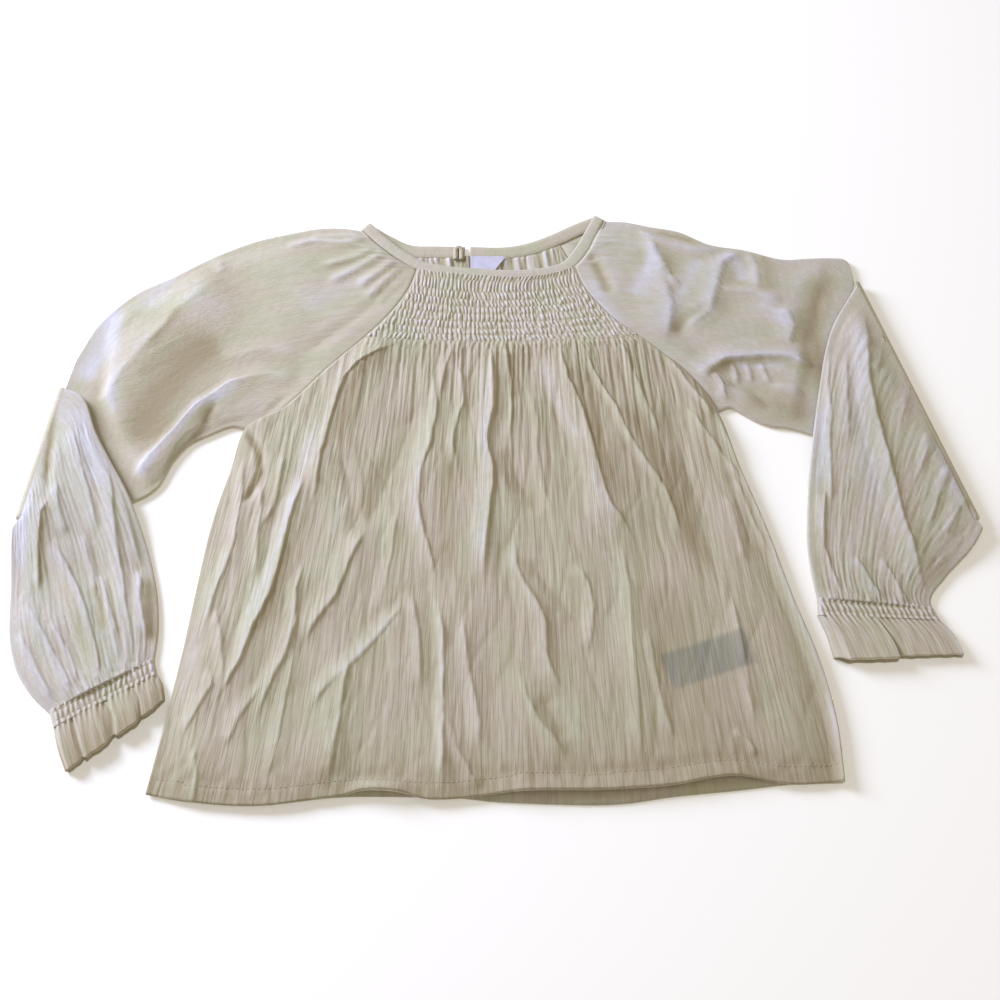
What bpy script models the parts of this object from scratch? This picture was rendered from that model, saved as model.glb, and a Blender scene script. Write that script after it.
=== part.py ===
"""Girl's peasant blouse in crinkled cotton gauze, laid flat with its front up.

Right and left are the wearer's, so the right side lies at -X. The neck points to +Y and the hem to -Y.
The blouse rests on z = 0 with its bounding box centred on the origin. The back panel and the lower halves
of the sleeves lie flat, and the front panel and the upper halves lie on them. Each sleeve is folded over at
the elbow, so that its forearm lies on its upper arm and then comes down to the surface beside the body.

Every table below is in millimetres, with one row for each section or fold.
"""

from collections import namedtuple

import bpy
import numpy as np

MM = 0.001

# Walls and gaps.
WALL = 1.1  # one layer of gauze
HEM_WALL = 1.9  # the layer turned up along the hem
HEM_THICK = 7.7  # the hem keeps that wall this far up, and thins over the next row of the grid
BAND_WALL = 1.6  # bias binding, three layers pressed together
LABEL_WALL = 1.0
GAP = 0.35  # clear distance between two pieces at a seam
REST = 0.3  # clear distance between two layers that lie on each other
LABEL_REST = 0.4  # clear height over a label
TUBE_HOLLOW = 0.6  # clear height inside a sleeve pressed flat
FOREARM_REST = 0.6  # clear height between an upper arm and the forearm that lies on it

FRONT_UNDER = WALL + REST  # underside of the front panel over the flat back panel
LABEL_LIFT = LABEL_WALL + LABEL_REST
NECK_UNDER = FRONT_UNDER + LABEL_LIFT  # raised at the neck, over the neck label
HALF_TUBE = WALL + TUBE_HOLLOW / 2
SLEEVE_STACK = 2 * HALF_TUBE + FOREARM_REST  # from the middle of the upper arm to the middle of the forearm

# Sections across a body panel, hem first. dip lowers the middle of the section towards the hem.
Section = namedtuple("Section", "left_x left_y right_x right_y dip")
FRONT_SECTIONS = [
    Section(-214, -219, 212, -211, 0),
    Section(-208, -180, 211, -171, 0),
    Section(-200, -124, 204, -130, 0),
    Section(-195, -80, 191, -86, 0),
    Section(-189, -32, 178, -36, 0),
    Section(-180, 8, 165, 6, 0),
    Section(-171, 43, 150, 56, 2),
    Section(-146, 60, 133, 86, 4),
    Section(-118, 92, 107, 112, 5),
    Section(-83, 128, 79, 136, 6),
    Section(-67, 152, 63, 158, 7),
    Section(-58, 175.5, 55, 177.8, 8),
]
BACK_SECTIONS = [
    Section(-213, -218, 211, -211, 0),
    Section(-207, -180, 210, -171, 0),
    Section(-199, -124, 203, -130, 0),
    Section(-194, -80, 190, -86, 0),
    Section(-188, -32, 177, -36, 0),
    Section(-179, 8, 164, 6, 0),
    Section(-171, 43, 150, 56, 2),
    Section(-142, 64, 126, 92, 3),
    Section(-112, 101, 98, 124, 3),
    Section(-84, 145, 68, 158, 3),
    Section(-73, 170, 54, 182, 3),
    Section(-66, 192, 44, 203, 3),
]
UNDERARM = 6  # the section at which the side seam ends and the raglan seam starts
LAST = len(FRONT_SECTIONS) - 1
HEM_SHARE = 1 / 3  # share of a panel's height over which it bends to its hem line
NECK_RISE_FROM, NECK_RISE_OVER = 60, 90  # the front rises to the neck over these places along Y

# Hem lines, left to right. Where the front hem lifts, the back hem shows below it.
Point = namedtuple("Point", "x y")
FRONT_HEM = [
    Point(-214, -219),
    Point(-183, -225),
    Point(-142, -227),
    Point(-92, -221),
    Point(-36, -223),
    Point(14, -218),
    Point(69, -217),
    Point(107, -214),
    Point(145, -208),
    Point(180, -213),
    Point(212, -211),
]
BACK_HEM = [
    Point(-213, -218),
    Point(-183, -223),
    Point(-142, -225),
    Point(-92, -220),
    Point(-36, -221),
    Point(14, -224),
    Point(69, -225),
    Point(107, -220),
    Point(145, -216),
    Point(180, -212),
    Point(211, -211),
]

# Neck binding: its seam edge and its free edge, from the right shoulder to the left one.
Band = namedtuple("Band", "seam_x seam_y free_x free_y")
BAND_FRONT = [
    Band(-98, 211, -92.5, 217),
    Band(-87, 198, -80, 204),
    Band(-74, 186, -68, 193),
    Band(-58, 175.5, -54, 183.5),
    Band(-38, 171, -36, 179),
    Band(-14, 169, -13, 177),
    Band(7, 167, 7, 175.5),
    Band(28, 168, 26, 176.5),
    Band(42, 171, 39, 179.3),
    Band(55, 177.8, 48.8, 184.5),
    Band(65, 191, 57, 197),
    Band(71, 205, 63, 209),
    Band(77, 219, 69.5, 222.5),
]
FRONT_CORNERS = (3, 9)  # where the two raglan seams meet the front of the binding
BAND_BACK_RIGHT = [
    Band(-98, 212, -92.5, 218.5),
    Band(-85, 202, -79, 209),
    Band(-66, 192, -63, 200.5),
    Band(-45, 191, -44, 199.5),
    Band(-24, 191, -24, 199),
]
BAND_BACK_LEFT = [
    Band(-20.3, 191, -20.3, 199),
    Band(4, 190.5, 3, 198.5),
    Band(25, 194, 21, 202),
    Band(44, 203, 39, 210),
    Band(60, 212, 55, 219),
    Band(77, 220.5, 71.5, 227),
]
RIGHT_BACK_CORNER = 2
LEFT_BACK_CORNER = 3
BAND_BACK_MIDDLE = BAND_WALL / 2
BAND_FRONT_MIDDLE = NECK_UNDER + BAND_WALL / 2
BAND_BEVEL = 0.12  # share of the binding's width over which its seam edge thins
BAND_EDGE = 0.7  # underside of its seam edge, as a share of half its thickness
SHOULDER_TURNS = (30, 60, 90, 120, 150)  # degrees turned over, at each section round a shoulder
SHOULDER_RIGHT, SHOULDER_LEFT = (-12, 12), (7, 14)  # the way out of the neck at each shoulder

# The back opening, a slit that closes at its foot.
SLIT_LEFT_X = -24.0
SLIT_RIGHT_X = -20.3
SLIT_FOOT_Y = 112.0
SLIT_LENGTH = 60.0  # distance over which it opens
SLIT_FOOT_WIDTH = 0.3  # its width at the foot, as a share of the whole
SLIT_SHARE = (0.385, 0.4)  # its two edges, as shares of the way across the back neck

# Sections of a sleeve from the armhole to the wrist: the underarm edge, the edge that lies towards the neck,
# and the share that the section keeps of the armhole's bend at the neck.
Cut = namedtuple("Cut", "under_x under_y top_x top_y bend")
UPPER_ARM_RIGHT = [
    Cut(-171, 43, -98.5, 212, 1.0),
    Cut(-182, 44.5, -113, 215, 0.72),
    Cut(-196, 38, -131, 215, 0.45),
    Cut(-209, 30, -152, 210.5, 0.22),
    Cut(-219, 16, -176, 203.5, 0.08),
    Cut(-227, -3, -204, 190, 0.0),
    Cut(-241, -14, -232, 172, 0.0),
    Cut(-262, -20, -257, 157, 0.0),
    Cut(-285, -26, -279, 133, 0.0),
    Cut(-303, -30, -291, 106, 0.0),
]
FOLD_RIGHT = Cut(-319, -31, -302, 77, 0.0)
FOREARM_RIGHT = [
    Cut(-318.5, -44, -284, 66, 0.0),
    Cut(-317, -61, -272, 38, 0.0),
    Cut(-315, -79, -259, 14, 0.0),
    Cut(-313.5, -97, -246, -9, 0.0),
    Cut(-311.5, -112, -235, -34, 0.0),
    Cut(-308, -126, -226, -59, 0.0),
    Cut(-302, -140, -219.5, -84, 0.0),
    Cut(-292, -154, -216.5, -108, 0.0),
    Cut(-279, -166, -217, -130, 0.0),
]
UPPER_ARM_LEFT = [
    Cut(150.5, 56, 77.5, 221, 1.0),
    Cut(160, 60, 92, 221, 0.72),
    Cut(168, 55, 110, 217, 0.45),
    Cut(177, 49, 131, 212.5, 0.22),
    Cut(187, 45, 153, 201, 0.08),
    Cut(200, 43, 178, 196, 0.0),
    Cut(217, 37, 203, 188, 0.0),
    Cut(241, 25, 223, 188.5, 0.0),
    Cut(268, 7, 240, 189, 0.0),
    Cut(295, -13, 251, 186, 0.0),
]
FOLD_LEFT = Cut(319, -31, 257, 168, 0.0)
FOREARM_LEFT = [
    Cut(318.5, -36, 246, 146, 0.0),
    Cut(315, -43, 235, 126, 0.0),
    Cut(311, -49, 227, 102, 0.0),
    Cut(306, -55, 221, 75, 0.0),
    Cut(300, -61, 215, 46, 0.0),
    Cut(294, -67, 210, 17, 0.0),
    Cut(288, -74, 206, -13, 0.0),
    Cut(282, -81, 203, -43, 0.0),
    Cut(279, -88, 203.5, -65, 0.0),
    Cut(280, -94, 206, -87, 0.0),
]
FOLD_TURNS = (0, 45, 90, 135, 180)  # degrees turned over, at each section round the elbow fold
EDGE_PLACES = (0, 0.3, 1.1)  # points beside the edge of a flattened tube, in halves of its thickness

# How far along the armhole the raglan seam reaches, from the underarm, before the neck begins.
FRONT_CORNER_SHARE = 0.76
BACK_CORNER_SHARE = 0.84
SHOULDER_SHARE = 0.03  # the last share of the armhole, where its two layers meet

# The lower edge of each upper arm, beyond which the forearm comes down to the surface.
Edge = namedtuple("Edge", "x0 y0 x1 y1")
ARM_EDGE_RIGHT = Edge(-319, -31, -241, -14)
ARM_EDGE_LEFT = Edge(319, -31, 216, 38)
STEP_DOWN = 16.0  # distance over which the forearm comes down
STEP_MARGIN = 3.0
COVER_REACH, COVER_FADE = 19.2, 12.0  # the upper arm is held flat this far beyond the forearm that covers it

# Elastic bands and frills at the wrists, from the sleeve outwards.
CUFF_RIGHT = [Cut(-279, -166, -217, -130, 0.0), Cut(-275.5, -175.5, -214.5, -139, 0.0)]
FRILL_RIGHT = [
    Cut(-275.5, -175.5, -214.5, -139, 0.0),
    Cut(-271, -190, -210, -147, 0.0),
    Cut(-264.5, -205, -207.5, -157, 0.0),
]
CUFF_LEFT = [Cut(280, -94, 206, -87, 0.0), Cut(283, -101.5, 205, -98, 0.0)]
FRILL_LEFT = [
    Cut(283, -101.5, 205, -98, 0.0),
    Cut(291, -112, 210, -113, 0.0),
    Cut(296, -126, 213, -129, 0.0),
]
CUFF_HALF = 2.2
CUFF_WALL = 1.5
FRILL_HALF = 1.7
FRILL_WAVES = 4
FRILL_RIPPLE = 1.1
FRILL_SCALLOP = 2.0

# Folds: a line of three points, its height, and how far it dies out to the left and right of that line.
FOLD_TAPER = 0.25  # share of a fold's length over which each end rises
FOLD_MARGIN = 0.05  # share of the front's width, at each side, over which the folds rise
FOLD_START, FOLD_RISE = 1.5, 8.0  # how far from a sleeve's edge its folds begin, and how far they rise over
Fold = namedtuple("Fold", "x0 y0 x1 y1 x2 y2 height left right")
FRONT_FOLDS = [
    Fold(-4, 106, -6, 20, -8, -72, 2.9, 6, 15),
    Fold(28, 107, 58, 28, 84, -40, 2.8, 7, 12),
    Fold(61, 109, 86, 42, 112, -10, 2.5, 7, 10),
    Fold(-36, 94, -58, 43, -80, -26, 2.9, 9, 10),
    Fold(-26, 100, -24, 55, -28, 22, 1.9, 8, 8),
    Fold(-123, 27, -146, -40, -168, -128, 3.0, 8, 12),
    Fold(-97, 30, -97, -62, -126, -124, 2.9, 8, 10),
    Fold(-158, 34, -164, -10, -182, -84, 2.9, 8, 8),
    Fold(-127, -96, -143, -145, -160, -176, 2.3, 8, 8),
    Fold(-92, -104, -94, -156, -100, -212, 2.5, 8, 10),
    Fold(-38, -84, -37, -138, -34, -212, 2.3, 9, 8),
    Fold(14, -52, 29, -110, 41, -160, 2.8, 8, 10),
    Fold(20, -160, 30, -182, 42, -204, 2.0, 8, 8),
    Fold(114, -8, 124, -60, 128, -96, 2.2, 8, 9),
    Fold(119, 36, 135, -17, 147, -84, 2.4, 7, 8),
    Fold(140, 44, 161, -8, 178, -60, 2.9, 8, 8),
    Fold(72, -118, 80, -160, 86, -206, 2.2, 9, 9),
    Fold(168, -100, 178, -150, 186, -204, 2.5, 9, 9),
]
SLEEVE_RIGHT_FOLDS = [
    Fold(-172, 62, -206, 44, -232, 5, 2.9, 13, 9),
    Fold(-86, 196, -140, 176, -196, 132, 2.0, 9, 9),
    Fold(-72, 168, -122, 140, -158, 100, 1.8, 9, 9),
    Fold(-110, 206, -180, 180, -240, 128, 1.8, 9, 9),
]
FOREARM_RIGHT_FOLDS = [
    Fold(-296, 60, -293, 0, -296, -90, 2.5, 8, 8),
    Fold(-272, 24, -262, -40, -252, -128, 2.5, 9, 9),
    Fold(-250, -22, -238, -70, -234, -124, 2.0, 7, 8),
    Fold(-306, -20, -298, -90, -276, -146, 2.0, 8, 8),
]
SLEEVE_LEFT_FOLDS = [
    Fold(141, 74, 178, 93, 220, 86, 2.9, 18, 5),
    Fold(78, 204, 132, 172, 196, 148, 2.0, 9, 9),
    Fold(68, 182, 112, 150, 168, 128, 1.8, 9, 9),
    Fold(100, 210, 160, 178, 230, 170, 1.8, 9, 9),
]
FOREARM_LEFT_FOLDS = [
    Fold(259, 140, 254, 60, 271, -76, 2.7, 4, 22),
    Fold(230, 96, 220, 15, 218, -80, 2.2, 8, 8),
    Fold(272, 96, 290, 30, 296, -20, 2.0, 8, 8),
]

# Labels: the middle, the two side lengths and the turn in degrees.
Label = namedtuple("Label", "x y width depth turn")
NECK_LABEL = Label(-7, 180.5, 25.4, 18.5, 0)
CARE_LABEL = Label(133, -130, 56, 25, 19)
LABEL_REACH, LABEL_FADE = 32.3, 17.0  # how far beyond the care label the front is raised, and its last slope

# Button loop: a small standing loop of cloth on the binding, beside the slit.
LOOP_X, LOOP_Y = -28.6, 193.5
LOOP_WIDTH, LOOP_DEPTH, LOOP_CORD = 6.4, 13.5, 1.3
LOOP_BENDS = 7  # points round its bend
CORD_SIDES = 6

# Grids.
FRONT_COLUMNS = 37  # a multiple of the binding's steps across the front, plus one
BAND_STEPS = 2
FRONT_EXTRA_ROWS = [0.12, 0.3, 1.5, 2.5, 3.5, 4.5, 5.5]
BACK_EXTRA_ROWS = [0.3]
UPPER_RINGS, FOREARM_RINGS = 8, 10

GAUZE_COLOUR = (0.61, 0.565, 0.44, 1)
LABEL_COLOUR = (0.80, 0.79, 0.84, 1)
CARE_COLOUR = (0.42, 0.43, 0.40, 1)


def read(rows, field, place):
    """Reads a named column between its rows, along a smooth curve that passes through every row."""
    values = np.array([getattr(row, field) for row in rows], float)
    place = np.clip(np.asarray(place, float), 0, len(values) - 1)
    k = np.minimum(place.astype(int), len(values) - 2)
    f = place - k
    ends = [2 * values[0] - values[1]], [2 * values[-1] - values[-2]]
    padded = np.concatenate([ends[0], values, ends[1]])
    a, b, c, d = (padded[k + step] for step in range(4))
    return b + 0.5 * f * (c - a + f * (2 * a - 5 * b + 4 * c - d + f * (3 * (b - c) + d - a)))


def straight(rows, field, place):
    """Reads a named column between its rows along straight lines, as the cut edges of the panels run."""
    return np.interp(place, np.arange(len(rows)), [getattr(row, field) for row in rows])


def ramp(value):
    """Rises smoothly from 0 to 1 while the value does."""
    value = np.clip(value, 0, 1)
    return value * value * (3 - 2 * value)


def fold_height(folds, x, y):
    """Height of the folds at a place: the largest of them, each a ridge that fades to its sides and ends."""
    height = np.zeros_like(x)
    for fold in folds:
        ridge = np.zeros_like(x)
        middle = np.hypot(fold.x1 - fold.x0, fold.y1 - fold.y0)
        whole = middle + np.hypot(fold.x2 - fold.x1, fold.y2 - fold.y1)
        pieces = ((fold.x0, fold.y0, fold.x1, fold.y1, 0.0), (fold.x1, fold.y1, fold.x2, fold.y2, middle))
        for x0, y0, x1, y1, before in pieces:
            length = np.hypot(x1 - x0, y1 - y0)
            along = np.clip(((x - x0) * (x1 - x0) + (y - y0) * (y1 - y0)) / length**2, 0, 1)
            off_x, off_y = x - x0 - along * (x1 - x0), y - y0 - along * (y1 - y0)
            side = (x1 - x0) * off_y - (y1 - y0) * off_x
            reach = np.where(side > 0, fold.left, fold.right)
            share = (before + along * length) / whole
            fade = ramp(share / FOLD_TAPER) * ramp((1 - share) / FOLD_TAPER)
            ridge = np.maximum(ridge, fade * np.exp(-(off_x**2 + off_y**2) / reach**2))
        height = np.maximum(height, fold.height * ridge)
    return height


def material(name, colour, roughness):
    """A plain cloth finish."""
    finish = bpy.data.materials.new(name)
    finish.use_nodes = True
    shader = finish.node_tree.nodes["Principled BSDF"]
    shader.inputs["Base Color"].default_value = colour
    shader.inputs["Roughness"].default_value = roughness
    finish.diffuse_color = colour
    return finish


def shell(name, outer, inner, finish, wraps=False, keep=None):
    """Makes one closed wall from its outer and inner grids of points, with a rim wherever the grid ends."""
    rows, columns = outer.shape[:2]
    index = np.arange(rows * columns).reshape(rows, columns)
    if wraps:
        index = np.concatenate([index, index[:, :1]], axis=1)
    corners = index[:-1, :-1], index[:-1, 1:], index[1:, 1:], index[1:, :-1]
    quads = np.stack(corners, axis=-1).reshape(-1, 4)
    if keep is not None:
        quads = quads[keep.reshape(-1)]
    edges = np.stack([quads, np.roll(quads, -1, axis=1)], axis=-1).reshape(-1, 2)
    size = rows * columns
    lone = edges[~np.isin(edges[:, 0] * size + edges[:, 1], edges[:, 1] * size + edges[:, 0])]
    rim = np.stack([lone[:, 1], lone[:, 0], lone[:, 0] + size, lone[:, 1] + size], axis=-1)
    points = np.concatenate([outer.reshape(-1, 3), inner.reshape(-1, 3)]) * MM
    faces = np.concatenate([quads, quads[:, ::-1] + size, rim])
    used, faces = np.unique(faces, return_inverse=True)
    points, faces = points[used], faces.reshape(-1, 4)
    a, b, c, d = (points[faces[:, corner]] for corner in range(4))
    volume = (np.cross(a, b) * c).sum() + (np.cross(a, c) * d).sum()
    if volume < 0:
        faces = faces[:, ::-1]
    mesh = bpy.data.meshes.new(name)
    mesh.from_pydata(points.tolist(), [], faces.tolist())
    mesh.materials.append(finish)
    mesh.shade_smooth()
    piece = bpy.data.objects.new(name, mesh)
    bpy.context.scene.collection.objects.link(piece)
    return piece


def panel_outline(sections, hem, neck, u, v):
    """Plan points of a body panel on a grid: u runs from left to right and v from the hem to the neck."""
    place = v * LAST
    x = (1 - u) * straight(sections, "left_x", place) + u * straight(sections, "right_x", place)
    y = (1 - u) * straight(sections, "left_y", place) + u * straight(sections, "right_y", place)
    y = y - 4 * u * (1 - u) * read(sections, "dip", place) * (v < 1)
    hem_x = read(hem, "x", u * (len(hem) - 1))
    hem_y = read(hem, "y", u * (len(hem) - 1))
    first = sections[0]
    low = np.clip(1 - v / HEM_SHARE, 0, 1) ** 2
    x = x + low * (hem_x - (1 - u) * first.left_x - u * first.right_x)
    y = y + low * (hem_y - (1 - u) * first.left_y - u * first.right_y)
    neck_x, neck_y = neck(u)
    top = v == 1
    return np.where(top, neck_x, x), np.where(top, neck_y, y)


def panel_rows(extra):
    """Heights of a panel's grid rows: every section, and extra ones given in sections from the hem."""
    return np.unique(np.concatenate([np.arange(LAST + 1), extra])) / LAST


def front_neck(u):
    """The seam between the front panel and the binding."""
    place = FRONT_CORNERS[0] + u * (FRONT_CORNERS[1] - FRONT_CORNERS[0])
    return straight(BAND_FRONT, "seam_x", place), straight(BAND_FRONT, "seam_y", place)


def back_neck(u):
    """The seam between the back panel and the binding, which the slit interrupts."""
    steps = len(BAND_BACK_RIGHT) - 1 - RIGHT_BACK_CORNER
    right = RIGHT_BACK_CORNER + np.clip(u / SLIT_SHARE[0], 0, 1) * steps
    left = np.clip((u - SLIT_SHARE[1]) / (1 - SLIT_SHARE[1]), 0, 1) * LEFT_BACK_CORNER
    on_right = u <= SLIT_SHARE[0]
    x = np.where(on_right, straight(BAND_BACK_RIGHT, "seam_x", right), straight(BAND_BACK_LEFT, "seam_x", left))
    y = np.where(on_right, straight(BAND_BACK_RIGHT, "seam_y", right), straight(BAND_BACK_LEFT, "seam_y", left))
    return x, y


def label_lift(x, y):
    """Raises the front panel over the care label, level on the label and fading out around it."""
    turn = np.radians(CARE_LABEL.turn)
    along = (x - CARE_LABEL.x) * np.cos(turn) + (y - CARE_LABEL.y) * np.sin(turn)
    across = (y - CARE_LABEL.y) * np.cos(turn) - (x - CARE_LABEL.x) * np.sin(turn)
    out = np.maximum(np.abs(along) - CARE_LABEL.width / 2, np.abs(across) - CARE_LABEL.depth / 2)
    return LABEL_LIFT * ramp((LABEL_REACH - out) / LABEL_FADE)


def neck_rise(y):
    """Raises the front and the sleeves towards the neck."""
    return LABEL_LIFT * ramp((y - NECK_RISE_FROM) / NECK_RISE_OVER)


def make_front(finish):
    """The front panel: a wall that follows its folds, thicker along the hem."""
    rows = panel_rows(FRONT_EXTRA_ROWS)
    u, v = np.meshgrid(np.linspace(0, 1, FRONT_COLUMNS), rows)
    x, y = panel_outline(FRONT_SECTIONS, FRONT_HEM, front_neck, u, v)
    inside = ramp(u / FOLD_MARGIN) * ramp((1 - u) / FOLD_MARGIN)
    under = FRONT_UNDER + neck_rise(y) + label_lift(x, y) + fold_height(FRONT_FOLDS, x, y) * inside
    hem = read(FRONT_HEM, "y", u * (len(FRONT_HEM) - 1))
    wall = np.where(y < hem + HEM_THICK, HEM_WALL, WALL)
    top, bottom = np.stack([x, y, under + wall], -1), np.stack([x, y, under], -1)
    return shell("front", top, bottom, finish)


def make_back(finish):
    """The back panel, flat, with the slit left out of its grid."""
    right = np.linspace(0, SLIT_SHARE[0], BAND_STEPS * (len(BAND_BACK_RIGHT) - 1 - RIGHT_BACK_CORNER) + 1)
    left = np.linspace(SLIT_SHARE[1], 1, BAND_STEPS * LEFT_BACK_CORNER + 1)
    columns = np.concatenate([right, left])
    slit = len(right) - 1
    rows = panel_rows(BACK_EXTRA_ROWS)
    u, v = np.meshgrid(columns, rows)
    x, y = panel_outline(BACK_SECTIONS, BACK_HEM, back_neck, u, v)
    opened = SLIT_FOOT_WIDTH + (1 - SLIT_FOOT_WIDTH) * ramp((y[:, slit] - SLIT_FOOT_Y) / SLIT_LENGTH)
    middle = (SLIT_LEFT_X + SLIT_RIGHT_X) / 2
    half = (SLIT_RIGHT_X - SLIT_LEFT_X) / 2
    x[:, slit] = middle - half * opened
    x[:, slit + 1] = middle + half * opened
    keep = np.ones((len(rows) - 1, len(columns) - 1), bool)
    keep[y[:-1, slit] > SLIT_FOOT_Y, slit] = False
    bottom = np.stack([x, y, np.zeros_like(x)], -1)
    return shell("back", bottom + [0, 0, WALL], bottom, finish, keep=keep)


def across(width, half, inner):
    """Places across a flattened tube from its underarm edge (0) to its top edge (1), close at both edges."""
    close = np.array(EDGE_PLACES) * half / width
    return np.concatenate([close, inner, 1 - close[::-1]])


def armhole(first, layer, q, side):
    """The armhole in plan: up the raglan seam from the underarm, then along the binding to the shoulder."""
    edge = "left" if side < 0 else "right"
    raglan = UNDERARM + np.clip(q / layer.corner, 0, 1) * (LAST - UNDERARM)
    seam_x = straight(layer.sections, edge + "_x", raglan) + side * GAP
    seam_y = straight(layer.sections, edge + "_y", raglan) + GAP
    share = np.clip((q - layer.corner) / (1 - layer.corner), 0, 1)
    place = layer.band_start + share * (layer.band_stop - layer.band_start)
    neck_x = straight(layer.band, "seam_x", place)
    neck_y = straight(layer.band, "seam_y", place)
    x = np.where(q <= layer.corner, seam_x, neck_x)
    y = np.where(q <= layer.corner, seam_y, neck_y)
    blend = ramp(1 - (1 - q) / SHOULDER_SHARE)
    return x + blend * (first.top_x - x), y + blend * (first.top_y - y)


# One layer of a sleeve: the panel and the part of the binding that its armhole follows.
Layer = namedtuple("Layer", "sections corner band band_start band_stop")


def layer_places(layer):
    """Places across a layer that meet every corner of its armhole."""
    raglan = layer.corner * np.linspace(0, 1, LAST - UNDERARM + 1)[1:]
    steps = abs(layer.band_stop - layer.band_start)
    return np.concatenate([raglan, layer.corner + (1 - layer.corner) * np.arange(1, steps) / steps])


Arm = namedtuple("Arm", "side upper fold forearm edge folds forearm_folds front back")


def sleeve_rings(arm, inset):
    """Outer (inset 0) or inner (inset WALL) rings of a sleeve, from the armhole to the wrist."""
    rings = []
    for place in np.linspace(0, len(arm.upper) - 1, UPPER_RINGS):
        rings.append(sleeve_ring(arm, cut_at(arm.upper, place), 0.0, False, inset))
    for turn in FOLD_TURNS:
        rings.append(sleeve_ring(arm, arm.fold, np.radians(turn), True, inset))
    for place in np.linspace(0, len(arm.forearm) - 1, FOREARM_RINGS):
        rings.append(sleeve_ring(arm, cut_at(arm.forearm, place), np.pi, False, inset))
    return np.array(rings)


def cut_at(cuts, place):
    """The section of a sleeve or cuff at a place between the rows of its table."""
    return Cut(*(float(read(cuts, field, place)) for field in Cut._fields))


def wall_offset(from_edge, half, inset):
    """Half the thickness of a flattened tube, which rounds to nothing at its two edges."""
    return (half - inset) * np.sqrt(1 - (1 - np.clip(from_edge / half, 0, 1)) ** 2)


def sleeve_ring(arm, cut, turn, at_elbow, inset):
    """One ring of a sleeve: its front layer, then its back layer. turn is how far the cloth is turned over."""
    width = np.hypot(cut.top_x - cut.under_x, cut.top_y - cut.under_y)
    out = np.array([arm.fold.top_y - arm.fold.under_y, arm.fold.under_x - arm.fold.top_x], float)
    out = out / np.hypot(*out) * np.sign(out[0] * arm.side)
    first = arm.upper[0]
    layers = []
    for layer, sign in ((arm.front, 1), (arm.back, -1)):
        q = across(width, HALF_TUBE, layer_places(layer))
        from_edge = np.minimum(q, 1 - q) * width
        offset = wall_offset(from_edge, HALF_TUBE, inset)
        q = 0.5 + (q - 0.5) * (1 - 2 * inset / width)
        x = cut.under_x + (cut.top_x - cut.under_x) * q
        y = cut.under_y + (cut.top_y - cut.under_y) * q
        seam_x, seam_y = armhole(first, layer, q, arm.side)
        x = x + cut.bend * (seam_x - first.under_x - (first.top_x - first.under_x) * q)
        y = y + cut.bend * (seam_y - first.under_y - (first.top_y - first.under_y) * q)
        if at_elbow:
            middle = HALF_TUBE + SLEEVE_STACK / 2 * (1 - np.cos(turn))
            shift = SLEEVE_STACK / 2 * (np.sin(turn) - 1) - HALF_TUBE
            x, y = x + out[0] * shift, y + out[1] * shift
        else:
            middle = HALF_TUBE + (raised(arm, x, y) if turn else 0.0)
        normal = np.array([-out[0] * np.sin(turn), -out[1] * np.sin(turn), np.cos(turn)])
        point = np.stack([x, y, middle + np.zeros_like(x)], -1) + sign * offset[:, None] * normal
        inside = ramp((from_edge - FOLD_START) / FOLD_RISE)
        if sign > 0 and not turn and not at_elbow:
            clear = (1 - covered(arm, x, y)) * inside
            lift = neck_rise(y) * cut.bend + fold_height(arm.folds, x, y) * clear
        elif sign < 0 and turn and not at_elbow:
            lift = fold_height(arm.forearm_folds, x, y) * inside
        else:
            lift = 0.0
        point[:, 2] += lift * np.clip(from_edge / HALF_TUBE, 0, 1)
        layers.append(point)
    front, back = layers
    return np.concatenate([front, back[-2:0:-1]])


def edge_distance(edge, x, y):
    """Distance from the lower edge of the upper arm, positive on the arm."""
    run, rise = edge.x1 - edge.x0, edge.y1 - edge.y0
    flip = 1 if run > 0 else -1
    return flip * (run * (y - edge.y0) - rise * (x - edge.x0)) / np.hypot(run, rise)


def raised(arm, x, y):
    """How far the forearm is held up by the upper arm under it."""
    return SLEEVE_STACK * ramp(1 + (edge_distance(arm.edge, x, y) + STEP_MARGIN) / STEP_DOWN)


def covered(arm, x, y):
    """1 where the forearm lies on the upper arm, fading to 0 on the side of the body."""
    line_x = np.interp(-y, [-cut.top_y for cut in arm.forearm], [cut.top_x for cut in arm.forearm])
    return ramp((COVER_REACH - (line_x - x) * arm.side) / COVER_FADE)


def make_sleeve(name, arm, finish):
    """A sleeve: one flattened tube, folded over at the elbow."""
    return shell(name, sleeve_rings(arm, 0.0), sleeve_rings(arm, WALL), finish, wraps=True)


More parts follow.
